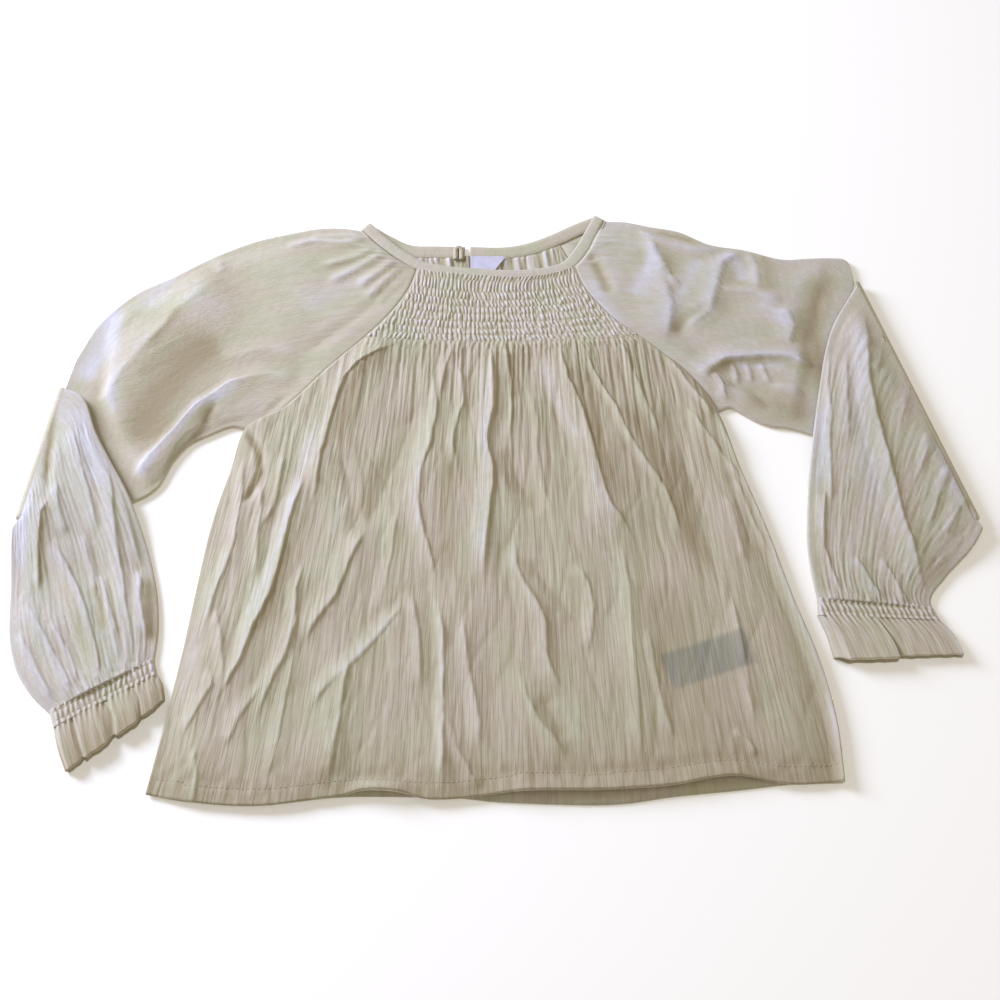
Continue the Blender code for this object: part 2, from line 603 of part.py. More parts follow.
def wrist_rings(cuts, half, inset, count, points, ripple):
    """Rings of a flat tube at the wrist. ripple is the depth of the waves at its free end."""
    out = np.array([cuts[-1].under_x - cuts[0].under_x, cuts[-1].under_y - cuts[0].under_y])
    out = out / np.hypot(*out)
    rings = []
    for share in np.linspace(0, 1, count):
        cut = cut_at(cuts, share * (len(cuts) - 1))
        width = np.hypot(cut.top_x - cut.under_x, cut.top_y - cut.under_y)
        q = across(width, half, np.linspace(0, 1, points + 2)[1:-1])
        from_edge = np.minimum(q, 1 - q) * width
        offset = wall_offset(from_edge, half, inset)
        q = 0.5 + (q - 0.5) * (1 - 2 * inset / width)
        along = np.array([cut.top_x - cut.under_x, cut.top_y - cut.under_y])
        wave = np.cos(2 * np.pi * FRILL_WAVES * q) * share if ripple else np.zeros_like(q)
        plan = np.array([cut.under_x, cut.under_y]) + np.outer(q, along)
        plan = plan + np.outer(GAP * (1 - share) + wave * FRILL_SCALLOP, out)
        lift = ripple * (share + wave) * np.clip(from_edge / half, 0, 1)
        high = np.column_stack([plan, half + offset + lift])
        low = np.column_stack([plan, half - offset])
        rings.append(np.concatenate([high, low[-2:0:-1]]))
    return np.array(rings)


def make_wrist(name, cuts, half, wall, finish, count, points, ripple=0.0):
    """An elastic band or a frill: a short flattened tube of count rings with points across each layer."""
    outer = wrist_rings(cuts, half, 0.0, count, points, ripple)
    return shell(name, outer, wrist_rings(cuts, half, wall, count, points, ripple), finish, wraps=True)


def band_run(rows, height, turn):
    """Stations along one run of the binding: seam edge, free edge, height and turn."""
    place = np.linspace(0, len(rows) - 1, BAND_STEPS * (len(rows) - 1) + 1)
    seam = np.stack([straight(rows, "seam_x", place), straight(rows, "seam_y", place)], -1)
    free = np.stack([read(rows, "free_x", place), read(rows, "free_y", place)], -1)
    return [(*pair, height, turn, np.zeros(2)) for pair in zip(seam, free)]


def shoulder_turn(low, high, way_out):
    """Stations where the binding folds over on itself at a shoulder, from its low row to its high row."""
    radius = (BAND_FRONT_MIDDLE - BAND_BACK_MIDDLE) / 2
    middle = (BAND_FRONT_MIDDLE + BAND_BACK_MIDDLE) / 2
    out = np.array(way_out) / np.hypot(*way_out)
    stations = []
    for degrees in SHOULDER_TURNS:
        share, turn = degrees / 180, np.radians(degrees)
        place = np.array(low) * (1 - share) + np.array(high) * share
        bulge = out * radius * np.sin(turn)
        height = middle - radius * np.cos(turn)
        stations.append((place[:2] + bulge, place[2:] + bulge, height, turn, out))
    return stations


def make_binding(finish):
    """A strip from one edge of the slit, round the back, over each shoulder and along the front."""
    right = band_run(BAND_BACK_RIGHT, BAND_BACK_MIDDLE, 0.0)[::-1]
    front = band_run(BAND_FRONT, BAND_FRONT_MIDDLE, np.pi)
    left = band_run(BAND_BACK_LEFT, BAND_BACK_MIDDLE, 0.0)[::-1]
    over_right = shoulder_turn(BAND_BACK_RIGHT[0], BAND_FRONT[0], SHOULDER_RIGHT)
    over_left = shoulder_turn(BAND_BACK_LEFT[-1], BAND_FRONT[-1], SHOULDER_LEFT)[::-1]
    rings = []
    for seam, free, height, turn, out in right + over_right + front + over_left + left:
        start = seam + GAP * (free - seam) / np.hypot(*(free - seam))
        normal = np.array([*(-np.sin(turn) * out), np.cos(turn)]) * BAND_WALL / 2
        base, tip = np.array([*start, height]), np.array([*free, height])
        near = base + BAND_BEVEL * (tip - base)
        below = [base - normal * BAND_EDGE, near - normal, tip - normal]
        rings.append([*below, tip + normal, near + normal, base + normal])
    return tube("neck_binding", np.array(rings), finish)


def tube(name, rings, finish):
    """Makes a solid bar from its rings of points, closed at both ends."""
    count, around = rings.shape[:2]
    index = np.arange(count * around).reshape(count, around)
    index = np.concatenate([index, index[:, :1]], axis=1)
    corners = index[:-1, :-1], index[:-1, 1:], index[1:, 1:], index[1:, :-1]
    faces = np.stack(corners, axis=-1).reshape(-1, 4).tolist()
    faces += [index[0, :-1][::-1].tolist(), index[-1, :-1].tolist()]
    mesh = bpy.data.meshes.new(name)
    mesh.from_pydata((rings.reshape(-1, 3) * MM).tolist(), [], faces)
    mesh.calc_loop_triangles()
    points = np.array([vertex.co for vertex in mesh.vertices])
    loops = np.array([tuple(triangle.vertices) for triangle in mesh.loop_triangles])
    if np.linalg.det(points[loops]).sum() < 0:
        mesh.flip_normals()
    mesh.materials.append(finish)
    mesh.shade_smooth()
    piece = bpy.data.objects.new(name, mesh)
    bpy.context.scene.collection.objects.link(piece)
    return piece


def make_loop(finish):
    """A flat U of cord whose two feet lie on the binding, with its bend beyond the free edge."""
    middle = BAND_WALL + REST + LOOP_CORD / 2
    arch = np.linspace(0, np.pi, LOOP_BENDS)
    radius = (LOOP_WIDTH - LOOP_CORD) / 2
    leg = LOOP_DEPTH - LOOP_WIDTH / 2 - LOOP_CORD / 2
    foot = LOOP_Y - LOOP_DEPTH / 2
    x = np.concatenate([[radius, radius], radius * np.cos(arch), [-radius, -radius]])
    y = np.concatenate([[0, leg / 2], leg + radius * np.sin(arch), [leg / 2, 0]])
    path = np.stack([LOOP_X + x, foot + y], -1)
    ahead = np.gradient(path, axis=0)
    ahead = ahead / np.hypot(ahead[:, 0], ahead[:, 1])[:, None]
    side = np.stack([-ahead[:, 1], ahead[:, 0]], -1)
    angle = np.linspace(0, 2 * np.pi, CORD_SIDES + 1)[:-1]
    rings = []
    for point, across_cord in zip(path, side):
        plan = point + np.outer(np.cos(angle), across_cord) * LOOP_CORD / 2
        rings.append(np.column_stack([plan, middle + np.sin(angle) * LOOP_CORD / 2]))
    return tube("button_loop", np.array(rings), finish)


def make_label(name, label, under, finish):
    """A flat woven label."""
    turn = np.radians(label.turn)
    u, v = np.meshgrid(np.linspace(-0.5, 0.5, 4) * label.width, np.linspace(-0.5, 0.5, 3) * label.depth)
    x = label.x + u * np.cos(turn) - v * np.sin(turn)
    y = label.y + u * np.sin(turn) + v * np.cos(turn)
    bottom = np.stack([x, y, np.full_like(x, under)], -1)
    return shell(name, bottom + [0, 0, LABEL_WALL], bottom, finish)


def main():
    """Clears the scene and makes every piece of the blouse."""
    for old in list(bpy.data.objects):
        bpy.data.objects.remove(old)
    right_arm = Arm(
        side=-1,
        upper=UPPER_ARM_RIGHT,
        fold=FOLD_RIGHT,
        forearm=FOREARM_RIGHT,
        edge=ARM_EDGE_RIGHT,
        folds=SLEEVE_RIGHT_FOLDS,
        forearm_folds=FOREARM_RIGHT_FOLDS,
        front=Layer(FRONT_SECTIONS, FRONT_CORNER_SHARE, BAND_FRONT, FRONT_CORNERS[0], 0),
        back=Layer(BACK_SECTIONS, BACK_CORNER_SHARE, BAND_BACK_RIGHT, RIGHT_BACK_CORNER, 0),
    )
    left_arm = Arm(
        side=1,
        upper=UPPER_ARM_LEFT,
        fold=FOLD_LEFT,
        forearm=FOREARM_LEFT,
        edge=ARM_EDGE_LEFT,
        folds=SLEEVE_LEFT_FOLDS,
        forearm_folds=FOREARM_LEFT_FOLDS,
        front=Layer(FRONT_SECTIONS, FRONT_CORNER_SHARE, BAND_FRONT, FRONT_CORNERS[1], len(BAND_FRONT) - 1),
        back=Layer(BACK_SECTIONS, BACK_CORNER_SHARE, BAND_BACK_LEFT, LEFT_BACK_CORNER, len(BAND_BACK_LEFT) - 1),
    )
    gauze = {}
    for name in ("front", "back", "sleeve_right", "sleeve_left", "cuffs", "frills", "binding", "loop"):
        gauze[name] = material("gauze_" + name, GAUZE_COLOUR, 0.9)
    make_back(gauze["back"])
    make_front(gauze["front"])
    make_sleeve("sleeve_right", right_arm, gauze["sleeve_right"])
    make_sleeve("sleeve_left", left_arm, gauze["sleeve_left"])
    make_wrist("cuff_band_right", CUFF_RIGHT, CUFF_HALF, CUFF_WALL, gauze["cuffs"], 2, 7)
    make_wrist("cuff_band_left", CUFF_LEFT, CUFF_HALF, CUFF_WALL, gauze["cuffs"], 2, 7)
    make_wrist("cuff_frill_right", FRILL_RIGHT, FRILL_HALF, WALL, gauze["frills"], 3, 15, FRILL_RIPPLE)
    make_wrist("cuff_frill_left", FRILL_LEFT, FRILL_HALF, WALL, gauze["frills"], 3, 15, FRILL_RIPPLE)
    make_binding(gauze["binding"])
    make_loop(gauze["loop"])
    make_label("neck_label", NECK_LABEL, FRONT_UNDER, material("label_white", LABEL_COLOUR, 0.6))
    make_label("care_label", CARE_LABEL, FRONT_UNDER, material("label_care", CARE_COLOUR, 0.7))


if __name__ == "__main__":
    main()
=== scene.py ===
"""Girl's peasant blouse in crinkled cotton gauze, laid flat with its front up and its sleeves folded over.

The cloth is worked out as surfaces of two parameters: u across a piece and v along it. Each section table is
in millimetres on the surface that the blouse lies on, and MM turns it into metres from the imported model's
width.
Right and left are the wearer's, so the right side lies at -X. The neck points to +Y and the front faces +Z.
"""

from collections import namedtuple

import bpy
import numpy as np
from bpy.props import FloatProperty, FloatVectorProperty, PointerProperty
from bpy.types import Operator, Panel, PropertyGroup
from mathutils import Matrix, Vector


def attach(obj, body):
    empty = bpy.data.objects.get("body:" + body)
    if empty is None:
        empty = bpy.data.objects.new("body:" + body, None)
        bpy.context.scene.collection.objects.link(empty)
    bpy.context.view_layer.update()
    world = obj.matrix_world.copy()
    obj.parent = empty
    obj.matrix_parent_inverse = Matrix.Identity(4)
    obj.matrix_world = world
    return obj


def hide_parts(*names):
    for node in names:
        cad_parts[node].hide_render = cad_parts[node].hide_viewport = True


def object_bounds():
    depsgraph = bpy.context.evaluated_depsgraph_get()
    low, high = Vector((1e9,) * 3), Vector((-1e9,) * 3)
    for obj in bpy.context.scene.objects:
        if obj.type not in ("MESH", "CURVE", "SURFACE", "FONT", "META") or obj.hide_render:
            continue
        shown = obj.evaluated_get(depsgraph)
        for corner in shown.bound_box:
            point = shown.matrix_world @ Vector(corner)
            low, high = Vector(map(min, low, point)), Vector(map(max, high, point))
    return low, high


bl_info = {
    "name": "Peasant Blouse",
    "version": (1, 0, 0),
    "blender": (4, 5, 0),
    "location": "3D View > Sidebar > Blouse",
    "description": "Builds a crinkled gauze blouse laid flat, piece by piece",
    "category": "Object",
}

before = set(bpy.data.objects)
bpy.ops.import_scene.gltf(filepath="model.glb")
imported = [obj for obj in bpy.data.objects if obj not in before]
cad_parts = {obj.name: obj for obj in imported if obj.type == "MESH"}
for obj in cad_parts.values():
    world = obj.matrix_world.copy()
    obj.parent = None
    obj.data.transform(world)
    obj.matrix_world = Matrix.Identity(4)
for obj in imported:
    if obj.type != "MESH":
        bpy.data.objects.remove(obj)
CAD_BOX = [list(corner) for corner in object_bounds()]

DRAWN_WIDTH = 637.3  # width of the drawing that the tables below belong to
MM = (CAD_BOX[1][0] - CAD_BOX[0][0]) / DRAWN_WIDTH

# Heights of the layers above the surface.
BACK_TOP = 1.2
FRONT_EDGE = 2.6  # outer face of the front panel at its edges
FRONT_LOFT = 2.6  # how much higher it lies away from them
NECK_LIFT = 1.5  # how much higher the front and the sleeves lie at the neck
SLEEVE_HALF = 1.7  # half the thickness of a flattened sleeve
SLEEVE_STACK = 5.4  # from the middle of the upper arm to that of the forearm folded over it
CLOTH = 0.9  # thickness of one layer

# Sections across a body panel, hem first. dip lowers the middle of the section towards the hem.
Section = namedtuple("Section", "left_x left_y right_x right_y dip", defaults=(0,))
SKIRT = [
    Section(-214, -219, 212, -211),
    Section(-208, -180, 211, -171),
    Section(-200, -124, 204, -130),
    Section(-195, -80, 191, -86),
    Section(-189, -32, 178, -36),
    Section(-180, 8, 165, 6),
    Section(-171, 43, 150, 56, 2),
    Section(-146, 60, 133, 86, 3),
    Section(-118, 92, 113, 106, 4),
    Section(-93.5, 117, 99, 119, 5),
]
YOKE = [
    SKIRT[-1],
    Section(-82, 130, 84, 131, 5.5),
    Section(-71, 145, 72, 145, 6),
    Section(-63, 160, 62, 160, 7),
    Section(-58, 175.5, 55, 177.8, 8),
]
INSET = 1  # how far the back's side edges lie inside the front's
BACK = [
    Section(-213, -218, 211, -211),
    *(row._replace(left_x=row.left_x + INSET, right_x=row.right_x - INSET) for row in SKIRT[1:6]),
    SKIRT[6],
    Section(-142, 64, 126, 92, 3),
    Section(-112, 101, 98, 124, 3),
    Section(-84, 145, 68, 158, 3),
    Section(-73, 170, 54, 182, 3),
    Section(-66, 192, 44, 203, 3),
]
RAGLAN_FRONT = SKIRT[6:] + YOKE[1:]
RAGLAN_BACK = BACK[6:]

Point = namedtuple("Point", "x y")
FRONT_HEM = [
    Point(-214, -219),
    Point(-183, -225),
    Point(-142, -227),
    Point(-92, -221),
    Point(-36, -223),
    Point(14, -218),
    Point(69, -217),
    Point(107, -214),
    Point(145, -208),
    Point(180, -213),
    Point(212, -211),
]
BACK_HEM = [
    Point(-213, -218),
    Point(-183, -223),
    Point(-142, -225),
    Point(-92, -220),
    Point(-36, -221),
    Point(14, -224),
    Point(69, -225),
    Point(107, -220),
    Point(145, -216),
    Point(180, -212),
    Point(211, -211),
]

# Neck binding: its seam edge and its free edge, from the right shoulder to the left one.
Band = namedtuple("Band", "seam_x seam_y free_x free_y")
BAND_FRONT = [
    Band(-98, 211, -92.5, 217),
    Band(-87, 198, -80, 204),
    Band(-74, 186, -68, 193),
    Band(-58, 175.5, -54, 183.5),
    Band(-38, 171, -36, 179),
    Band(-14, 169, -13, 177),
    Band(7, 167, 7, 175.5),
    Band(28, 168, 26, 176.5),
    Band(42, 171, 39, 179.3),
    Band(55, 177.8, 48.8, 184.5),
    Band(65, 191, 57, 197),
    Band(71, 205, 63, 209),
    Band(77, 219, 69.5, 222.5),
]
FRONT_CORNERS = (3, 9)
BAND_BACK_RIGHT = [
    Band(-98, 212, -92.5, 218.5),
    Band(-85, 202, -79, 209),
    Band(-66, 192, -63, 200.5),
    Band(-45, 191, -44, 199.5),
    Band(-24, 191, -24, 199),
]
BAND_BACK_LEFT = [
    Band(-20.3, 191, -20.3, 199),
    Band(4, 190.5, 3, 198.5),
    Band(25, 194, 21, 202),
    Band(44, 203, 39, 210),
    Band(60, 212, 55, 219),
    Band(77, 220.5, 71.5, 227),
]
BACK_CORNERS = (2, 3)
SLIT_SHARE = (0.385, 0.4)
SLIT_EDGES = (-22.9, -21.6)
SLIT_FOOT_Y = 112.0
BAND_THICK = 2.0
BAND_LAP = 1.3  # how far the binding covers the panels' edges
BAND_BACK_MIDDLE = 1.0
# Section of the binding: share of its width from the seam, and share of half its thickness.
BAND_SECTION = [
    (0.0, 0.2),
    (0.02, 0.75),
    (0.06, 0.95),
    (0.1, 0.9),
    (0.14, 0.35),
    (0.18, 0.4),
    (0.23, 0.95),
    (0.4, 1.05),
    (0.62, 1.08),
    (0.82, 1.0),
    (0.94, 0.8),
    (1.0, 0.2),
    (1.0, -0.4),
    (0.93, -0.9),
    (0.7, -1.0),
    (0.35, -1.0),
    (0.08, -0.9),
    (0.0, -0.4),
]
BAND_FRONT_MIDDLE = FRONT_EDGE + NECK_LIFT + 0.5

# Sections of a sleeve from the armhole to the wrist: the underarm edge, the edge that lies towards the neck,
# and the share that the section keeps of the armhole's bend at the neck.
Cut = namedtuple("Cut", "under_x under_y top_x top_y bend", defaults=(0.0,))
UPPER_ARM_RIGHT = [
    Cut(-171, 43, -98.5, 212, 1.0),
    Cut(-182, 44.5, -113, 215, 0.72),
    Cut(-196, 38, -131, 215, 0.45),
    Cut(-209, 30, -152, 210.5, 0.22),
    Cut(-219, 16, -176, 203.5, 0.08),
    Cut(-227, -3, -204, 190),
    Cut(-241, -14, -232, 172),
    Cut(-262, -20, -257, 157),
    Cut(-285, -26, -279, 133),
    Cut(-303, -30, -291, 106),
]
FOLD_RIGHT = Cut(-318.6, -28.5, -302.4, 74.5)
FOREARM_RIGHT = [
    Cut(-318.5, -44, -284, 66),
    Cut(-317, -61, -272, 38),
    Cut(-315, -79, -259, 14),
    Cut(-313.5, -97, -246, -9),
    Cut(-311.5, -112, -235, -34),
    Cut(-308, -126, -226, -59),
    Cut(-302, -140, -219.5, -84),
    Cut(-292, -154, -216.5, -108),
    Cut(-279, -166, -217, -130),
]
UPPER_ARM_LEFT = [
    Cut(150.5, 56, 77.5, 221, 1.0),
    Cut(160, 60, 92, 221, 0.72),
    Cut(168, 55, 110, 217, 0.45),
    Cut(177, 49, 131, 212.5, 0.22),
    Cut(187, 45, 153, 201, 0.08),
    Cut(200, 43, 178, 196),
    Cut(217, 37, 203, 188),
    Cut(241, 25, 223, 188.5),
    Cut(268, 7, 240, 189),
    Cut(295, -13, 251, 186),
]
FOLD_LEFT = Cut(318.3, -28.6, 257.7, 165.6)
FOREARM_LEFT = [
    Cut(318.5, -36, 246, 146),
    Cut(315, -43, 235, 126),
    Cut(311, -49, 227, 102),
    Cut(306, -55, 221, 75),
    Cut(300, -61, 215, 46),
    Cut(294, -67, 210, 17),
    Cut(288, -74, 206, -13),
    Cut(282, -81, 203, -43),
    Cut(279, -88, 203.5, -65),
    Cut(280, -94, 206, -87),
]
Edge = namedtuple("Edge", "x0 y0 x1 y1")
ARM_EDGE_RIGHT = Edge(-319, -31, -241, -14)
ARM_EDGE_LEFT = Edge(319, -31, 216, 38)
FRONT_CORNER_SHARE = 0.76
BACK_CORNER_SHARE = 0.84

CUFF_RIGHT = [FOREARM_RIGHT[-1], Cut(-275.5, -175.5, -214.5, -139)]
CUFF_LEFT = [FOREARM_LEFT[-1], Cut(283, -101.5, 205, -98)]
FRILL_RIGHT = [CUFF_RIGHT[-1], Cut(-271, -190, -210, -147), Cut(-264.5, -205, -207.5, -157)]
FRILL_LEFT = [CUFF_LEFT[-1], Cut(291, -112, 210, -113), Cut(296, -126, 213, -129)]

# Creases: a line of points, its height (a trough where it is negative), how far it dies out to the left and
# to the right of that line, and how much of the height drops at once, as a crisp lip, on its left.
Fold = namedtuple("Fold", "points height left right lip", defaults=(0.4,))
FRONT_FOLDS = [
    Fold(
        ((-69, 113), (-85, 103), (-98, 95), (-106, 83), (-109, 72), (-114, 50), (-120.5, 22),
         (-122, -22)), 3.1, 24, 12.8,
    ),
    Fold(
        ((-127, 10), (-137, -28), (-142, -58), (-148, -85), (-157, -108), (-163, -130),
         (-179, -163)), 3.5, 19.5, 10.2,
    ),
    Fold(((-127, -60), (-131, -82), (-129, -104), (-137, -132), (-145, -152), (-150, -174)), 2.5, 12, 10.2),
    Fold(((-54, 66), (-60, 42), (-66, 20), (-74, 0), (-80, -20), (-86, -34)), -2, 15, 16, 0),
    Fold(((-87, -36), (-94, -52), (-100, -68), (-105, -84), (-113, -97), (-124, -120)), 3, 22.5, 14.4),
    Fold(((-110, 27), (-105, 14), (-100, 0), (-96, -20), (-93, -44)), -1.5, 10, 9, 0),
    Fold(((-32, 112), (-35, 98), (-37, 86), (-40, 70), (-41, 56)), 1.8, 7.5, 6),
    Fold(
        ((-44, 92), (-43, 60), (-46, 30), (-52, 8), (-54, -12), (-50, -34), (-44, -58),
         (-38, -80)), 2.6, 18, 11,
    ),
    Fold(((-30, 98), (-25, 82), (-24, 62), (-28, 48), (-31, 30), (-28, 6)), 1.8, 9, 6.8),
    Fold(
        ((-9, 114), (-4, 98), (-3.5, 75), (-4, 60), (-7.5, 40), (-8, 28), (-4.5, 12), (-4, -2), (-8, -40),
         (-9, -78)), 3.5, 18, 14.4,
    ),
    Fold(((3, 114), (6, 98), (8, 80), (9, 60), (8, 42), (7, 26)), 2.2, 15, 5.1),
    Fold(((7, 28), (10, 12), (14, 0), (20, -12), (27, -24)), -1.7, 13, 11, 0),
    Fold(((22, 72), (27, 45), (28, 20), (31, -8), (36, -26)), 1.4, 9, 7.6),
    Fold(
        ((40, 113), (44, 94), (47, 80), (54, 66), (58, 52), (62, 36), (65, 18), (69, 0), (74, -18),
         (90, -46)), 3.4, 24, 17.8,
    ),
    Fold(
        ((59, 114), (62, 98), (67, 84), (76, 66), (81, 58), (85, 42), (90, 31), (98, 18), (106, 4),
         (112, -10), (122, -46)), 2.6, 19.5, 5.1,
    ),
    Fold(((80, 119), (87, 106), (93, 88), (99, 70), (104, 54), (112, 30)), 1.6, 10.5, 7.6),
    Fold(
        ((113, 74), (118, 50), (121, 36), (126, 14), (131, -4), (134, -22), (137, -42),
         (143, -84)), -2.3, 17, 16, 0,
    ),
    Fold(((118, 101), (126, 87), (132, 74), (140, 62), (147, 50)), 1.8, 9, 4.2),
    Fold(((129, 58), (137, 43), (146, 30), (155, 16), (163, 2)), 1.9, 7.5, 7.6),
    Fold(((158, 6), (163, -14), (169, -34), (177, -54)), 1.6, 6, 6),
    Fold(((-181, -136), (-180, -148), (-186, -160), (-195, -180)), 2, 9, 9.3),
    Fold(((-147, -146), (-154, -158), (-160, -168), (-167, -188)), 1.9, 12, 11),
    Fold(((-128, -118), (-131, -142), (-134, -160), (-138, -190), (-140, -216)), 1.7, 9, 6.8),
    Fold(((-92, -126), (-97, -145), (-98.5, -165), (-101, -190), (-103, -218)), 2.7, 18, 15.3),
    Fold(((-60, -90), (-72, -108), (-84, -123), (-96, -136), (-108, -150), (-118, -164)), 2.1, 18, 10.2),
    Fold(((-38, -84), (-36, -110), (-35, -140), (-35, -165), (-34, -190), (-35, -219)), 2.9, 10.5, 6.8),
    Fold(((-34, -163), (-29, -178), (-25, -192), (-18, -203), (-13, -216)), 1.9, 9, 8.5),
    Fold(((-24, -98), (-20, -125), (-15, -150), (-12, -172), (-12, -192)), 1.9, 10.5, 8.5),
    Fold(((-55, -84), (-53, -100), (-50, -118), (-49, -150)), 1.8, 7.5, 8.5),
    Fold(
        ((11, -42), (12, -62), (17, -76), (26, -92), (30, -104), (30, -126), (34, -139),
         (42, -153)), 2.5, 12, 11,
    ),
    Fold(((20, -58), (29, -72), (38, -86), (48, -100), (55, -108)), -1.4, 11, 7, 0),
    Fold(((50, -60), (58, -78), (61, -92), (60, -108), (58, -126)), 2.2, 15, 9.3),
    Fold(((14, -138), (18, -158), (25, -171), (34, -184), (42, -199)), 2, 12, 11),
    Fold(((27, -156), (35, -170), (41, -186)), -1.1, 9, 6, 0),
    Fold(((96, -108), (99, -140), (102, -165), (108, -184)), 1.6, 9, 6.8),
    Fold(((145, -179), (152, -184), (159, -195)), 1.4, 6, 5.1),
    Fold(
        ((-174, 44), (-166, 34), (-160, 22), (-158, 8), (-161, -2), (-166, -11),
         (-171, -20)), -1.9, 5, 5, 0,
    ),
    Fold(((-171, 20), (-171, -18), (-173, -44), (-178, -66), (-184, -86), (-187, -112)), 1.9, 7.5, 7.6),
    Fold(((-159, 2), (-157, -22), (-158, -44), (-157, -72)), 1.7, 7.5, 6),
    Fold(((-143, 24), (-146, 0), (-149, -20), (-157, -36)), 1.9, 9, 7.6),
    Fold(((-182, -94), (-176, -115), (-173, -135), (-173, -152)), 1.8, 7.5, 7.6),
    Fold(((-187, -190), (-183, -208), (-184, -226)), 1.6, 7.5, 5.1),
    Fold(((152, -8), (156, -28), (160, -60)), 1.4, 7.5, 6),
    Fold(((150, -84), (156, -130), (160, -176)), 1.4, 9, 7.6),
    Fold(((80, -30), (84, -80), (86, -130), (88, -200)), 1.5, 12, 8.5),
    Fold(((-66, -20), (-70, -60), (-76, -100)), 1.4, 10.5, 7.6),
]
SLEEVE_RIGHT_FOLDS = [
    Fold(((-198, 170), (-226, 140), (-250, 102), (-268, 72), (-286, 46)), 4.6, 42, 22, 0),
    Fold(((-221, 152), (-230, 134), (-244, 106)), 1.9, 7, 9),
    Fold(((-212, 120), (-228, 112), (-241, 99), (-258, 78)), 1.5, 7, 10),
    Fold(((-248, -4), (-238, 14), (-222, 38), (-203, 62), (-186, 78), (-164, 88)), 3.3, 6, 17),
    Fold(((-64, 162), (-92, 142), (-115, 122), (-138, 101)), -1.1, 9, 9, 0),
    Fold(((-138, 104), (-165, 108), (-194, 100)), 1.1, 9, 12, 0),
    Fold(((-138, 85), (-165, 85), (-192, 74)), 1.4, 9, 12, 0),
    Fold(((-87, 193), (-104, 187), (-126, 179)), 1.6, 4, 7),
    Fold(((-80, 190), (-99, 177), (-120, 163)), 2, 5, 8),
    Fold(((-73, 185), (-84, 173), (-100, 160)), 2, 4, 7),
    Fold(((-68, 181), (-78, 167), (-94, 148)), 1.7, 4, 6),
    Fold(((-94, 203), (-112, 200), (-134, 201), (-154, 195)), 1.6, 4, 7),
    Fold(((-62, 176), (-73, 158), (-86, 143)), 1.5, 3, 5),
    Fold(((-98, 208), (-116, 207), (-136, 206)), 1.2, 3, 5),
    Fold(((-143, 68), (-152, 58), (-161, 46)), -1.4, 4, 5, 0),
    Fold(((-192, 64), (-196, 54), (-199, 44)), -1.5, 5, 7, 0),
    Fold(((-210, 192), (-200, 184), (-196, 172)), 1.2, 5, 7),
]
FOREARM_RIGHT_FOLDS = [
    Fold(((-305, 76), (-303, 46), (-302, 20), (-300, 0), (-297, -12)), -3.2, 5, 5, 0),
    Fold(((-296, -14), (-301, -26), (-300, -50), (-296, -84)), 2.6, 12.6, 12),
    Fold(
        ((-282, 72), (-270, 40), (-262, 14), (-251, -34), (-246, -60), (-239, -92),
         (-233, -114)), 2.2, 8.4, 12,
    ),
    Fold(((-293, -44), (-276, -72), (-263, -98), (-254, -126), (-249, -150)), 2.8, 18.2, 14),
    Fold(((-294, -2), (-290, -22), (-282, -42)), 1.6, 7, 8),
    Fold(((-289, 42), (-278, 10), (-268, -20), (-261, -42)), 1.7, 8.4, 10),
    Fold(((-272, -42), (-264, -66), (-259, -86)), 1.5, 7, 8),
    Fold(((-268, 38), (-256, 2), (-246, -20), (-240, -40), (-232, -66)), 1.9, 7, 9),
    Fold(((-258, -68), (-250, -92), (-241, -114)), 1.6, 7, 8),
    Fold(((-254, -84), (-246, -108), (-239, -132)), 1.4, 5.6, 6),
    Fold(((-303, -90), (-288, -112), (-272, -140), (-264, -158)), 1.9, 7, 10),
    Fold(((-307, -108), (-292, -132), (-276, -160)), 1.6, 5.6, 8),
    Fold(((-285, -102), (-272, -124), (-263, -148)), 1.6, 5.6, 8),
    Fold(((-232, -66), (-230, -90), (-223, -114)), 1.9, 12.6, 8),
]
SLEEVE_LEFT_FOLDS = [
    Fold(((229, 86), (206, 99), (182, 102), (158, 97), (137, 82)), 4, 7, 18, 0.45),
    Fold(((157, 80), (176, 72), (188, 58)), -1.4, 5, 6, 0),
    Fold(((188, 78), (206, 73), (222, 58)), 1.6, 6, 8),
    Fold(((160, 97), (164, 88), (165, 78)), 1.4, 3, 4),
    Fold(((171, 98), (174, 88), (175, 80)), 1.2, 3, 4),
    Fold(((182, 98), (185, 88), (188, 80)), 1.2, 3, 5),
    Fold(((239, 174), (227, 148), (222, 120), (216, 96)), -2.4, 9, 18, 0),
    Fold(((109, 208), (114, 190), (122, 172), (131, 158)), 2.4, 13, 12),
    Fold(((112, 188), (120, 166), (123, 142), (118, 114)), 2.2, 8, 24),
    Fold(((179, 198), (160, 182), (155, 160), (150, 142), (130, 122)), 2.5, 11, 14),
    Fold(((180, 198), (186, 178), (184, 156)), 1.9, 15, 8),
    Fold(((203, 148), (180, 156), (153, 158)), 1.5, 9, 9),
    Fold(((203, 144), (208, 126), (203, 110)), 1.9, 11, 15),
    Fold(((66, 192), (73, 176), (80, 154)), -1.6, 8, 8, 0),
    Fold(((100, 213), (120, 202), (140, 196), (164, 195)), 2, 9, 11),
    Fold(((123, 119), (134, 134), (151, 144)), -1.5, 7, 9, 0),
    Fold(((136, 88), (141, 76), (139, 64)), 1.7, 5, 6),
    Fold(((148, 90), (154, 78), (156, 64)), 1.7, 5, 6),
]
